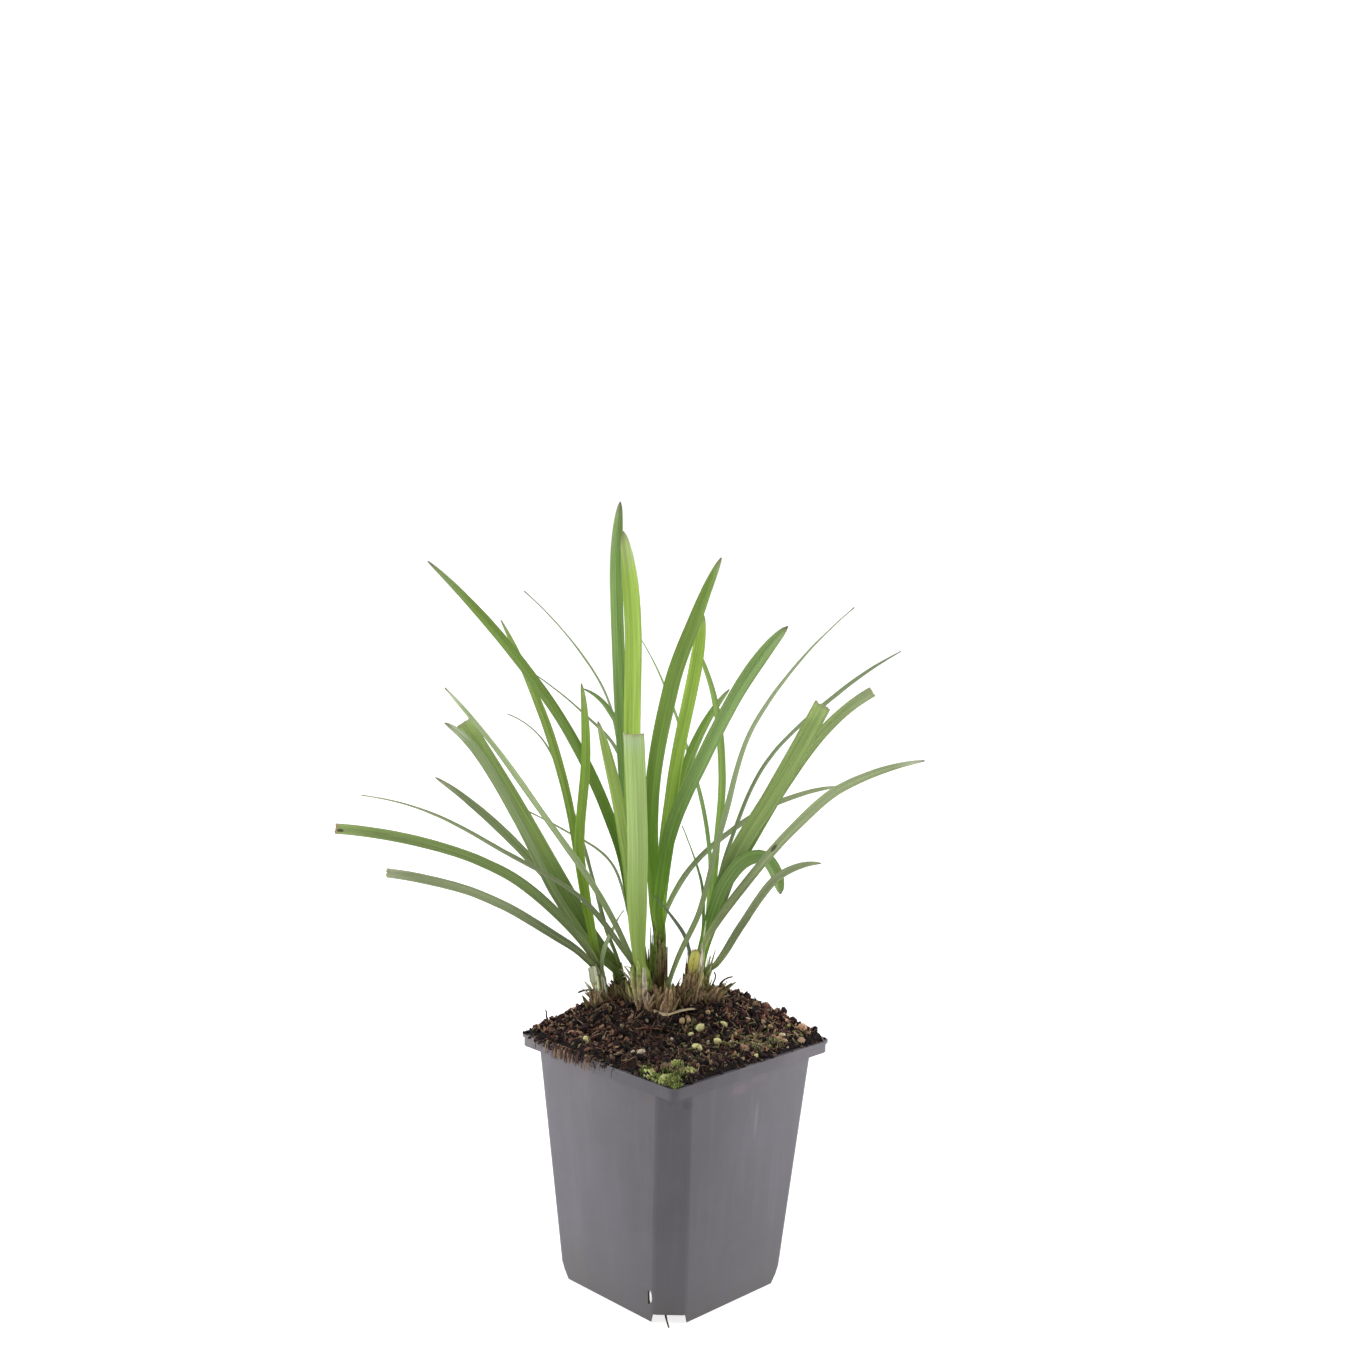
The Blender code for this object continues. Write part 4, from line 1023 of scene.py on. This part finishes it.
def sheet_faces(rows, columns):
    """Faces of a closed sheet: a front grid, a back grid and the border between them."""
    half = (rows + 1) * columns
    faces = []
    for row in range(rows):
        for k in range(columns - 1):
            a = row * columns + k
            b = a + columns
            faces += [(a, a + 1, b + 1), (a, b + 1, b)]
            faces += [(half + a, half + b + 1, half + a + 1), (half + a, half + b, half + b + 1)]
    border = [k for k in range(columns)]
    border += [row * columns + columns - 1 for row in range(1, rows + 1)]
    border += [rows * columns + k for k in range(columns - 2, -1, -1)]
    border += [row * columns for row in range(rows - 1, 0, -1)]
    for here, there in zip(border, border[1:] + border[:1]):
        faces += [(there, here, half + here), (there, half + here, half + there)]
    return faces


# Soil


def soil_height(x, y):
    """Height of the soil's solid at a place in the plant's frame, in millimetres."""
    hill = exp(-abs((x - MOUND_AT[0]) / MOUND_SPREAD[0]) ** 3
               - abs((y - MOUND_AT[1]) / MOUND_SPREAD[1]) ** 3)
    lumps = sin(x / LUMP_PITCH * 2 * pi + 1) * sin(y / LUMP_PITCH * 2 * pi)
    return SOIL_EDGE + MOUND_RISE * hill + LUMP * lumps


def rim_gap(x, y):
    """Distance from a place in the plant's frame in to the mouth of the pot, in millimetres."""
    across = abs((x - y) / sqrt(2))
    deep = abs((x + y) / sqrt(2))
    return MOUTH_WIDTH / MM / 2 - max(across, deep)


def ground(x, y):
    """Height of the crumbly surface, in millimetres."""
    broad = noise.noise(Vector((x * 0.11, y * 0.11, 1.0)))
    lumps = noise.noise(Vector((x * 0.34, y * 0.34, 5.0)))
    fine = noise.noise(Vector((x * 1.0, y * 1.0, 9.0)))
    gap = noise.voronoi(Vector((x * 0.27, y * 0.27, 2.0)))[0][0]
    clod = sqrt(max(0.0, 1 - (gap / 0.75) ** 2))
    rough = 0.1 + 0.8 * broad + 0.8 * lumps + 0.35 * fine + 1.5 * clod
    if -11 < x < 10:
        rough *= min(1.0, abs(y - 3.2) / 4)
    edge = min(1.0, max(0.0, rim_gap(x, y) / 3.0))
    return soil_height(x, y) + 0.15 + max(0.0, rough) * (0.35 + 0.65 * edge)


def make_soil():
    """The fine surface of the soil over its solid, which keeps the rest of the root ball."""
    cells = 190
    half = MOUTH_WIDTH / MM / 2
    axis = np.linspace(-half, half, cells + 1)
    corner = 2.6
    points = []
    for v in axis:
        for u in axis:
            over = max(0.0, abs(u) + abs(v) - 2 * half + corner) / 2
            px, py = u - over * np.sign(u), v - over * np.sign(v)
            x, y = (px + py) / sqrt(2), (py - px) / sqrt(2)
            points.append((x, y, ground(x, y)))
    top = len(points)
    side = cells + 1
    border = [k for k in range(side)]
    border += [row * side + cells for row in range(1, side)]
    border += [cells * side + k for k in range(cells - 1, -1, -1)]
    border += [row * side for row in range(cells - 1, 0, -1)]
    points += [(points[i][0] * 0.995, points[i][1] * 0.995, 98.6) for i in border]
    faces = []
    for row in range(cells):
        for k in range(cells):
            a = row * side + k
            faces.append((a, a + 1, a + side + 1, a + side))
    for index, here in enumerate(border):
        after = (index + 1) % len(border)
        faces.append((border[after], here, top + index, top + after))
    faces.append(tuple(top + i for i in range(len(border))))
    made = mesh_piece("soil_surface", np.array(points) * MM, faces, soil_material("peat", False))
    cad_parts["soil"].data.materials.clear()
    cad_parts["soil"].data.materials.append(made.data.materials[0])


def anywhere(inset=0.6):
    """A random place inside the pot's mouth, in the plant's frame, in millimetres."""
    half = MOUTH_WIDTH / MM / 2 - inset
    u, v = RANDOM.uniform(-half, half, 2)
    return (u + v) / sqrt(2), (v - u) / sqrt(2)


CLOD_TINTS = ((26, 19, 22), (42, 30, 32), (64, 47, 45), (94, 72, 62), (16, 12, 16), (126, 106, 86))
BARK_TINTS = ((88, 52, 46), (116, 78, 64), (60, 39, 37), (150, 118, 92), (40, 29, 31))
STRAND_TINTS = ((94, 68, 56), (136, 108, 84), (64, 45, 41), (172, 146, 114), (44, 33, 33),
                (110, 66, 60))
FLECK_TINTS = ((158, 136, 104), (128, 114, 76), (190, 176, 144), (106, 106, 64), (142, 108, 88),
               (122, 130, 74))


def painted_side_light(x):
    """Painted light: how much lighter the loose stuff is made towards the sides of the pot, most at the right.
    """
    return 1 + 0.04 * max(0.0, x - 6) + 0.025 * max(0.0, -x - 12)


def make_clods():
    heap = Heap()
    for _ in range(1900):
        x, y = anywhere()
        size = min(4.4, RANDOM.lognormal(0.35, 0.5))
        points, faces = crumb(size, (1, RANDOM.uniform(0.45, 0.95), RANDOM.uniform(0.35, 0.8)), 0.32)
        tint = np.array(linear(CLOD_TINTS[RANDOM.choice(6, p=(0.26, 0.24, 0.19, 0.11, 0.14, 0.06))]))
        heap.add(points + (x, y, ground(x, y) + size * 0.16), faces, tint * painted_side_light(x))
    for u, v, z, size in spilled_crumbs():
        points, faces = crumb(size, (1, 0.8, 0.6))
        tint = linear(CLOD_TINTS[RANDOM.choice(6, p=(0.1, 0.2, 0.3, 0.25, 0.05, 0.1))])
        heap.add(points + ((u + v) / sqrt(2), (v - u) / sqrt(2), z), faces, tint)
    made = heap.piece("soil_clods", soil_material("clods", True), smooth=False)


def spilled_crumbs():
    """Crumbs on top of the rim and, at the left, stuck to its outside, in the pot's own frame."""
    for _ in range(260):
        side = RANDOM.choice(4, p=(0.55, 0.25, 0.1, 0.1))
        u = RANDOM.uniform(-43, 43)
        v = RANDOM.uniform(42.2, 44.4)
        size = RANDOM.uniform(0.6, 2.0)
        x, y = ((u, -v), (v, u), (-v, u), (u, v))[side]
        yield x, y, POT_HEIGHT / MM + size * 0.22, size
    for _ in range(230):
        u = RANDOM.normal(-15, 9.5)
        drop = RANDOM.exponential(1.4)
        if drop < 5.2:
            size = RANDOM.uniform(0.8, 2.2) * (1 - 0.12 * drop)
            out = 44.9 if drop < 1.2 else 44.1
            yield u, -out - size * 0.1, POT_HEIGHT / MM - drop, size


def make_bark():
    heap = Heap()
    for _ in range(330):
        x, y = anywhere(1.5)
        size = RANDOM.uniform(1.6, 4.6)
        points, faces = crumb(size, (1, RANDOM.uniform(0.3, 0.7), RANDOM.uniform(0.12, 0.3)), 0.3)
        tint = np.array(linear(BARK_TINTS[RANDOM.choice(5)]))
        heap.add(points + (x, y, ground(x, y) + 0.5), faces, tint * painted_side_light(x))
    made = heap.piece("bark_chips", fibre_material("bark", 0.25), smooth=False)


def make_strands():
    """Peat fibres: most lie on the soil, some stand up from it."""
    heap = Heap()
    for index in range(2000):
        x, y = anywhere(1.0)
        length = RANDOM.uniform(1.6, 6.0)
        heading = RANDOM.uniform(0, 2 * pi)
        rise = RANDOM.uniform(0.0, 0.25) if index % 4 else RANDOM.uniform(0.3, 1.1)
        steps = 6
        way = []
        bend = RANDOM.uniform(-1.0, 1.0)
        px, py, pz = x, y, ground(x, y) + 0.1
        for step in range(steps):
            way.append((px, py, pz))
            heading += bend / steps
            px += cos(heading) * cos(rise) * length / steps
            py += sin(heading) * cos(rise) * length / steps
            if rim_gap(px, py) < 0.6:
                break
            climb = sin(rise) * length / steps
            pz = max(pz + climb, ground(px, py) + 0.15) if rise > 0.25 else ground(px, py) + 0.3
        if len(way) < 3:
            continue
        radius = RANDOM.uniform(0.07, 0.2)
        points, faces = thread(way, np.linspace(radius, radius * 0.5, len(way)), 4)
        heap.add(points, faces, np.array(linear(STRAND_TINTS[RANDOM.choice(6)])) * painted_side_light(x))
    for _ in range(90):
        u = RANDOM.normal(-15, 10)
        slide, reach = RANDOM.uniform(-1.5, 1.5), RANDOM.uniform(0.3, 1.0)
        way = [(u, -43.2, 100.5), (u + 0.4 * slide, -44.6, 100.9), (u + slide, -45.6, 100.2 - reach),
               (u + 1.3 * slide, -45.7, 99 - 4 * reach)]
        way = [((a + b) / sqrt(2), (b - a) / sqrt(2), c) for a, b, c in way if abs(u) < 42]
        if way:
            points, faces = thread(way, (0.16, 0.2, 0.18, 0.1), 4)
            heap.add(points, faces, linear(STRAND_TINTS[RANDOM.choice(6)]))
    for _ in range(60):
        x, y = RANDOM.normal((32, -13), (8, 6))
        if rim_gap(x, y) < 3:
            continue
        heading = RANDOM.uniform(-0.5, 0.9)
        length = RANDOM.uniform(3, 7)
        way = []
        for step in np.linspace(0, 1, 6):
            px, py = x + cos(heading) * length * step, y + sin(heading) * length * step
            if rim_gap(px, py) > 0.8:
                way.append((px, py, ground(px, py) + 0.5))
        if len(way) > 2:
            points, faces = thread(way, np.linspace(0.34, 0.16, len(way)), 5)
            heap.add(points, faces, linear(((150, 146, 92), (176, 166, 120), (112, 112, 64))[RANDOM.choice(3)]))
    made = heap.piece("peat_fibres", fibre_material("strands"))


# Pale grains that stand out, in the plant's frame: x, y, size, kind
GRAIN_TINTS = {"pellet": (224, 222, 156), "perlite": (206, 192, 170), "pink": (224, 178, 146),
               "tan": (184, 158, 116)}
GRAINS = (
    (9.9, -5.4, 3.4, "pellet"), (6.3, -8.5, 2.6, "pellet"), (19.6, -2.3, 3.2, "pellet"),
    (17.0, -14.9, 3.4, "pellet"), (8.7, -23.3, 4.0, "pellet"), (29.9, 3.5, 2.6, "tan"),
    (-35.6, -14.1, 3.0, "pellet"), (-1.2, -13.0, 1.6, "perlite"), (-13.1, -28.9, 3.4, "perlite"),
    (-16.3, -27.2, 2.2, "perlite"), (-3.0, -28.9, 1.8, "perlite"), (-19.2, -21.5, 1.5, "perlite"),
    (31.7, -25.8, 2.3, "pellet"), (51.5, 0.9, 4.0, "pink"), (2.7, -2.0, 3.2, "tan"),
    (5.4, -1.6, 2.4, "tan"), (-37.5, -13.0, 1.8, "tan"), (13.0, 3.0, 2.2, "tan"),
    (38.5, -2.0, 2.2, "tan"), (24.0, -9.0, 2.0, "tan"),
)


def make_grains():
    heap = Heap()
    for x, y, size, kind in GRAINS:
        points, faces = crumb(size * 1.1, (1, RANDOM.uniform(0.6, 0.9), 0.7), 0.3, 2)
        heap.add(points + (x, y, ground(x, y) + size * 0.28), faces, linear(GRAIN_TINTS[kind]))
    for _ in range(45):
        x, y = anywhere(1.5)
        size = RANDOM.uniform(0.6, 1.3)
        points, faces = crumb(size, (1, 0.8, 0.7), 0.25, 1)
        kind = ("perlite", "tan")[RANDOM.integers(2)]
        tint = np.array(linear(GRAIN_TINTS[kind])) * RANDOM.uniform(0.5, 0.95)
        heap.add(points + (x, y, ground(x, y) + size * 0.25), faces, tint)
    made = heap.piece("pale_grains", grain_material("grains"))


def make_flecks():
    """Small light chips, with more olive and yellow ones in front and at the right."""
    heap = Heap()
    for _ in range(640):
        x, y = anywhere(1.5)
        size = RANDOM.uniform(0.8, 2.7)
        points, faces = crumb(size, (1, RANDOM.uniform(0.3, 0.8), RANDOM.uniform(0.25, 0.6)), 0.3)
        front = x > -8 and y < 8
        tint = FLECK_TINTS[RANDOM.choice(6, p=(0.18, 0.2, 0.14, 0.2, 0.1, 0.18) if front else
                                         (0.2, 0.1, 0.1, 0.04, 0.54, 0.02))]
        light = RANDOM.uniform(0.5, 1.2) * (0.9 if front else 0.65) * painted_side_light(x)
        heap.add(points + (x, y, ground(x, y) + size * 0.25), faces, np.array(linear(tint)) * light)
    made = heap.piece("light_chips", fibre_material("chips"), smooth=False)


def make_moss():
    """Tiny leafy tufts: lumps at the front corner that lap over the rim, a few around it."""
    heap = Heap()
    for cx, cy, reach, count, kind in MOSS:
        for _ in range(2 * count):
            x, y = RANDOM.normal((cx, cy), (reach, reach * 0.8))
            if rim_gap(x, y) < -1.0:
                continue
            height = ground(x, y) if rim_gap(x, y) > 0.3 else POT_HEIGHT / MM + 0.1
            dome = 1.6 * exp(-((x - cx) ** 2 + (y - cy) ** 2) / (reach * reach))
            base = np.array((x, y, height + dome * 0.6))
            lean = RANDOM.normal(0, 0.45, 2)
            tall = RANDOM.uniform(0.5, 1.3)
            way = [base - (0, 0, 0.6), base + (lean[0] * 0.4, lean[1] * 0.4, tall * 0.6),
                   base + (lean[0], lean[1], tall)]
            points, faces = thread(way, (0.13, 0.28, 0.1), 4)
            tint = linear(MOSS_TINTS[kind][RANDOM.choice(4)])
            heap.add(points, faces, np.array(tint) * RANDOM.uniform(0.7, 1.1))
    made = heap.piece("moss", moss_material("moss"))


# Moss lumps in the plant's frame: x, y, reach, number of tufts, pale or not
MOSS = (
    (0.9, -42.4, 1.3, 80, "pale"), (5.9, -46.2, 1.3, 80, "pale"), (3.0, -44.8, 1.3, 24, "deep"),
    (-8.4, -50.4, 1.4, 80, "pale"), (-6.0, -53.0, 1.4, 60, "deep"), (-3.4, -55.8, 1.4, 80, "pale"),
    (-0.3, -55.6, 1.4, 50, "deep"), (2.4, -52.6, 1.6, 30, "deep"), (-11.5, -46.8, 1.3, 40, "deep"),
    (-1.5, -58.3, 1.6, 80, "deep"), (0.5, -60.0, 1.3, 60, "deep"), (-2.0, -50.0, 3.0, 30, "deep"),
    (28.0, -15.0, 1.4, 26, "dull"), (33.0, -20.0, 1.4, 26, "dull"), (38.0, -14.0, 1.6, 30, "dull"),
)
MOSS_TINTS = {"pale": ((216, 218, 140), (192, 202, 116), (230, 230, 168), (152, 168, 88)),
              "deep": ((130, 142, 68), (98, 112, 48), (158, 166, 92), (76, 84, 40)),
              "dull": ((138, 132, 96), (112, 110, 78), (160, 152, 112), (92, 84, 62))}


# Twigs that stand out: points in the plant's frame (x, y, rise over the soil), radius, colour
TWIGS = (
    (((-51.5, 0, 0.0), (-52.2, 0, 3.5), (-52.6, 0, 6.2)), 0.5, (52, 40, 34)),
    (((51, -4, 0.3), (52.5, -5, 2.4), (53.4, -6, 5.0)), 0.2, (84, 62, 48)),
    (((-16, -6, 0.6), (-10, -8, 1.2), (-3, -7, 1.0), (3, -9, 0.8)), 0.35, (128, 94, 66)),
    (((12, -12, 0.6), (20, -10, 1.2), (29, -13, 0.9)), 0.4, (108, 72, 54)),
    (((-40, -4, 0.6), (-33, -7, 1.3), (-26, -6, 0.8)), 0.4, (98, 70, 52)),
)

# Twigs read on the ruler: depth, readings, radius, colour
HOOKS = (
    (20, ((-39.4, 117.3), (-36.4, 118.3), (-33.5, 118.0), (-30, 116.0)), 0.5, (50, 42, 46)),
    (18, ((13.4, 116.0), (14.6, 121.5), (15.8, 124.8), (15.1, 126.9)), 0.5, (96, 90, 66)),
    (20, ((15.5, 116.0), (17.3, 121.1), (19.2, 123.7), (22.6, 125.1)), 0.6, (106, 92, 64)),
    (14, ((13, 113), (17, 115.2), (21, 115.6), (24, 117.5)), 0.4, (130, 108, 78)),
    (12, ((-31, 112.5), (-27, 114), (-22, 112.5), (-18, 113)), 0.35, (96, 72, 54)),
)


def make_twigs():
    heap = Heap()
    for depth, way, radius, tint in HOOKS:
        rows, _ = smooth_path([seen(a, h, depth) / MM for a, h in way], 16)
        rows = np.array(rows) + RANDOM.normal(0, 0.06, (17, 3))
        points, faces = thread(rows, np.linspace(radius, radius * 0.6, len(rows)), 6)
        heap.add(points, faces, linear(tint))
    for way, radius, tint in TWIGS:
        spots = [Vector((x, y, ground(x, y) + rise)) for x, y, rise in way]
        rows, _ = smooth_path(spots, 14)
        rows = np.array(rows)
        rows += RANDOM.normal(0, 0.08, rows.shape)
        points, faces = thread(rows, np.linspace(radius, radius * 0.55, len(rows)), 6)
        heap.add(points, faces, linear(tint))
    made = heap.piece("twigs", fibre_material("twig"))


def make_root():
    rows, _ = smooth_path([Vector(point) for point in ROOT_WAY], 18)
    rows = np.array(rows)
    heap = Heap()
    points, faces = thread(rows, np.linspace(0.5, 0.34, len(rows)) + RANDOM.uniform(-0.05, 0.05, len(rows)), 8)
    heap.add(points, faces, linear((84, 66, 48)))
    made = heap.piece("root_tip_thread", fibre_material("root"))
    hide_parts("root_tip")


# Pot


CORNER_SOFTNESS = 1.8 * MM


def is_outer(edge):
    """Whether the walls at an upright edge look away from the pot's middle."""
    middle = (edge.verts[0].co + edge.verts[1].co) / 2
    return all(face.normal.dot(Vector((middle.x, middle.y, 0))) > 0 for face in edge.link_faces)


def make_pot():
    """The pot's own form with its sharp edges rounded, as a moulding has them."""
    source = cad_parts["pot"]
    bm = bmesh.new()
    bm.from_mesh(source.data)
    bmesh.ops.remove_doubles(bm, verts=bm.verts, dist=0.00001)
    bmesh.ops.dissolve_limit(bm, angle_limit=radians(0.6), verts=bm.verts, edges=bm.edges)
    mesh = bpy.data.meshes.new("pot_shell")
    weights = bm.edges.layers.float.new("bevel_weight_edge")
    for edge in bm.edges:
        if len(edge.link_faces) == 2 and edge.calc_face_angle(0) > radians(28):
            run = edge.verts[1].co - edge.verts[0].co
            edge[weights] = 1.0 if abs(run.z) > 50 * MM and is_outer(edge) else 0.12
    bm.to_mesh(mesh)
    bm.free()
    mesh.materials.append(pot_material())
    pot = bpy.data.objects.new("pot_shell", mesh)
    bpy.context.scene.collection.objects.link(pot)
    bevel = pot.modifiers.new("soft_edges", "BEVEL")
    bevel.width = CORNER_SOFTNESS
    bevel.segments = 4
    bevel.limit_method = "WEIGHT"
    bevel.harden_normals = False
    mesh.shade_smooth()
    mesh.set_sharp_from_angle(angle=radians(32))
    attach(pot, "root")
    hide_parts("pot")


# Stage


def make_stage():
    bm = bmesh.new()
    bmesh.ops.create_grid(bm, x_segments=2, y_segments=2, size=4.0)
    mesh = bpy.data.meshes.new("floor")
    bm.to_mesh(mesh)
    bm.free()
    white = Shade("floor_white", roughness=0.9, specular=0.1)
    haze = white.noise(white.place(), 3.0, 2.0)
    colour = white.mix(white.ramp(haze, 0.3, 0.7), (0.62, 0.62, 0.615), (0.65, 0.65, 0.645))
    white.shader.inputs["Emission Color"].default_value = (1, 1, 1, 1)
    white.shader.inputs["Emission Strength"].default_value = 0.8
    mesh.materials.append(white.finish(colour))
    floor = bpy.data.objects.new("floor", mesh)
    floor.location.z = -0.0004
    bpy.context.scene.collection.objects.link(floor)


def soft_light(name, azimuth, elevation, distance, size, power):
    """A square soft box that looks at the plant."""
    data = bpy.data.lights.new(name, "AREA")
    data.shape = "SQUARE"
    data.size = size
    data.energy = power
    light = bpy.data.objects.new(name, data)
    turn = radians(azimuth)
    lift = radians(elevation)
    away = Vector((sin(turn) * cos(lift), -cos(turn) * cos(lift), sin(lift)))
    light.location = away * distance + Vector((0, 0, 0.12))
    light.rotation_euler = away.to_track_quat("Z", "Y").to_euler()
    bpy.context.scene.collection.objects.link(light)


def make_light():
    """A white cove that is darker on the side of the photographer, and two soft boxes."""
    world = bpy.data.worlds.new("cove")
    world.use_nodes = True
    bpy.context.scene.world = world
    tree = world.node_tree
    back = tree.nodes["Background"]
    back.inputs["Color"].default_value = (1, 1, 1, 1)
    place = tree.nodes.new("ShaderNodeTexCoord")
    toward = tree.nodes.new("ShaderNodeVectorMath")
    toward.operation = "DOT_PRODUCT"
    tree.links.new(place.outputs["Generated"], toward.inputs[0])
    toward.inputs[1].default_value = (sin(TURN), -cos(TURN), 0.0)
    strength = tree.nodes.new("ShaderNodeMapRange")
    strength.interpolation_type = "SMOOTHSTEP"
    tree.links.new(toward.outputs["Value"], strength.inputs[0])
    for index, value in enumerate((0.0, 0.75, SIDE_LIGHT, FRONT_LIGHT)):
        strength.inputs[index + 1].default_value = value
    ray = tree.nodes.new("ShaderNodeLightPath")
    shown = tree.nodes.new("ShaderNodeMix")
    tree.links.new(ray.outputs["Is Camera Ray"], shown.inputs[0])
    tree.links.new(strength.outputs[0], shown.inputs[2])
    shown.inputs[3].default_value = 1.05
    tree.links.new(shown.outputs[0], back.inputs["Strength"])
    soft_light("key", 45 - 84, 26, 1.1, 0.9, KEY_POWER)
    soft_light("fill", 45 + 86, 22, 1.2, 0.9, FILL_POWER)


SIDE_LIGHT = 0.9
FRONT_LIGHT = 0.1
KEY_POWER = 7.5
FILL_POWER = 6.8


def make_camera():
    data = bpy.data.cameras.new("camera")
    data.lens = LENS
    data.sensor_width = 36
    data.sensor_fit = "HORIZONTAL"
    data.clip_start = 0.01
    camera = bpy.data.objects.new("camera", data)
    spin = Matrix.Rotation(TURN, 4, "Z")
    place = Matrix.Translation((0, -EYE_DISTANCE, EYE_HEIGHT))
    look = Matrix.Rotation(pi / 2 - PITCH, 4, "X") @ Matrix.Rotation(ROLL, 4, "Z")
    camera.matrix_world = spin @ place @ look
    bpy.context.scene.collection.objects.link(camera)
    bpy.context.scene.camera = camera


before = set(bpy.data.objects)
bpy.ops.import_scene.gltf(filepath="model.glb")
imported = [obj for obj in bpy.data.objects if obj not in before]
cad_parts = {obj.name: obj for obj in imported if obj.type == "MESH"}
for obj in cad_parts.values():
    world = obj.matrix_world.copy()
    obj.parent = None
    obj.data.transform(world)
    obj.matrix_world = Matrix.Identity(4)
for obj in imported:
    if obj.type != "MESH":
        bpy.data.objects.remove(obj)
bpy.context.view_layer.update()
bpy.context.scene.view_settings.view_transform = "Standard"
make_camera()
make_stage()
make_light()
make_pot()
make_soil()
make_clods()
make_bark()
make_strands()
make_grains()
make_moss()
make_twigs()
make_root()
make_flecks()
make_crowns()
make_husks()
make_leaves()
make_sheaths()
make_straw()
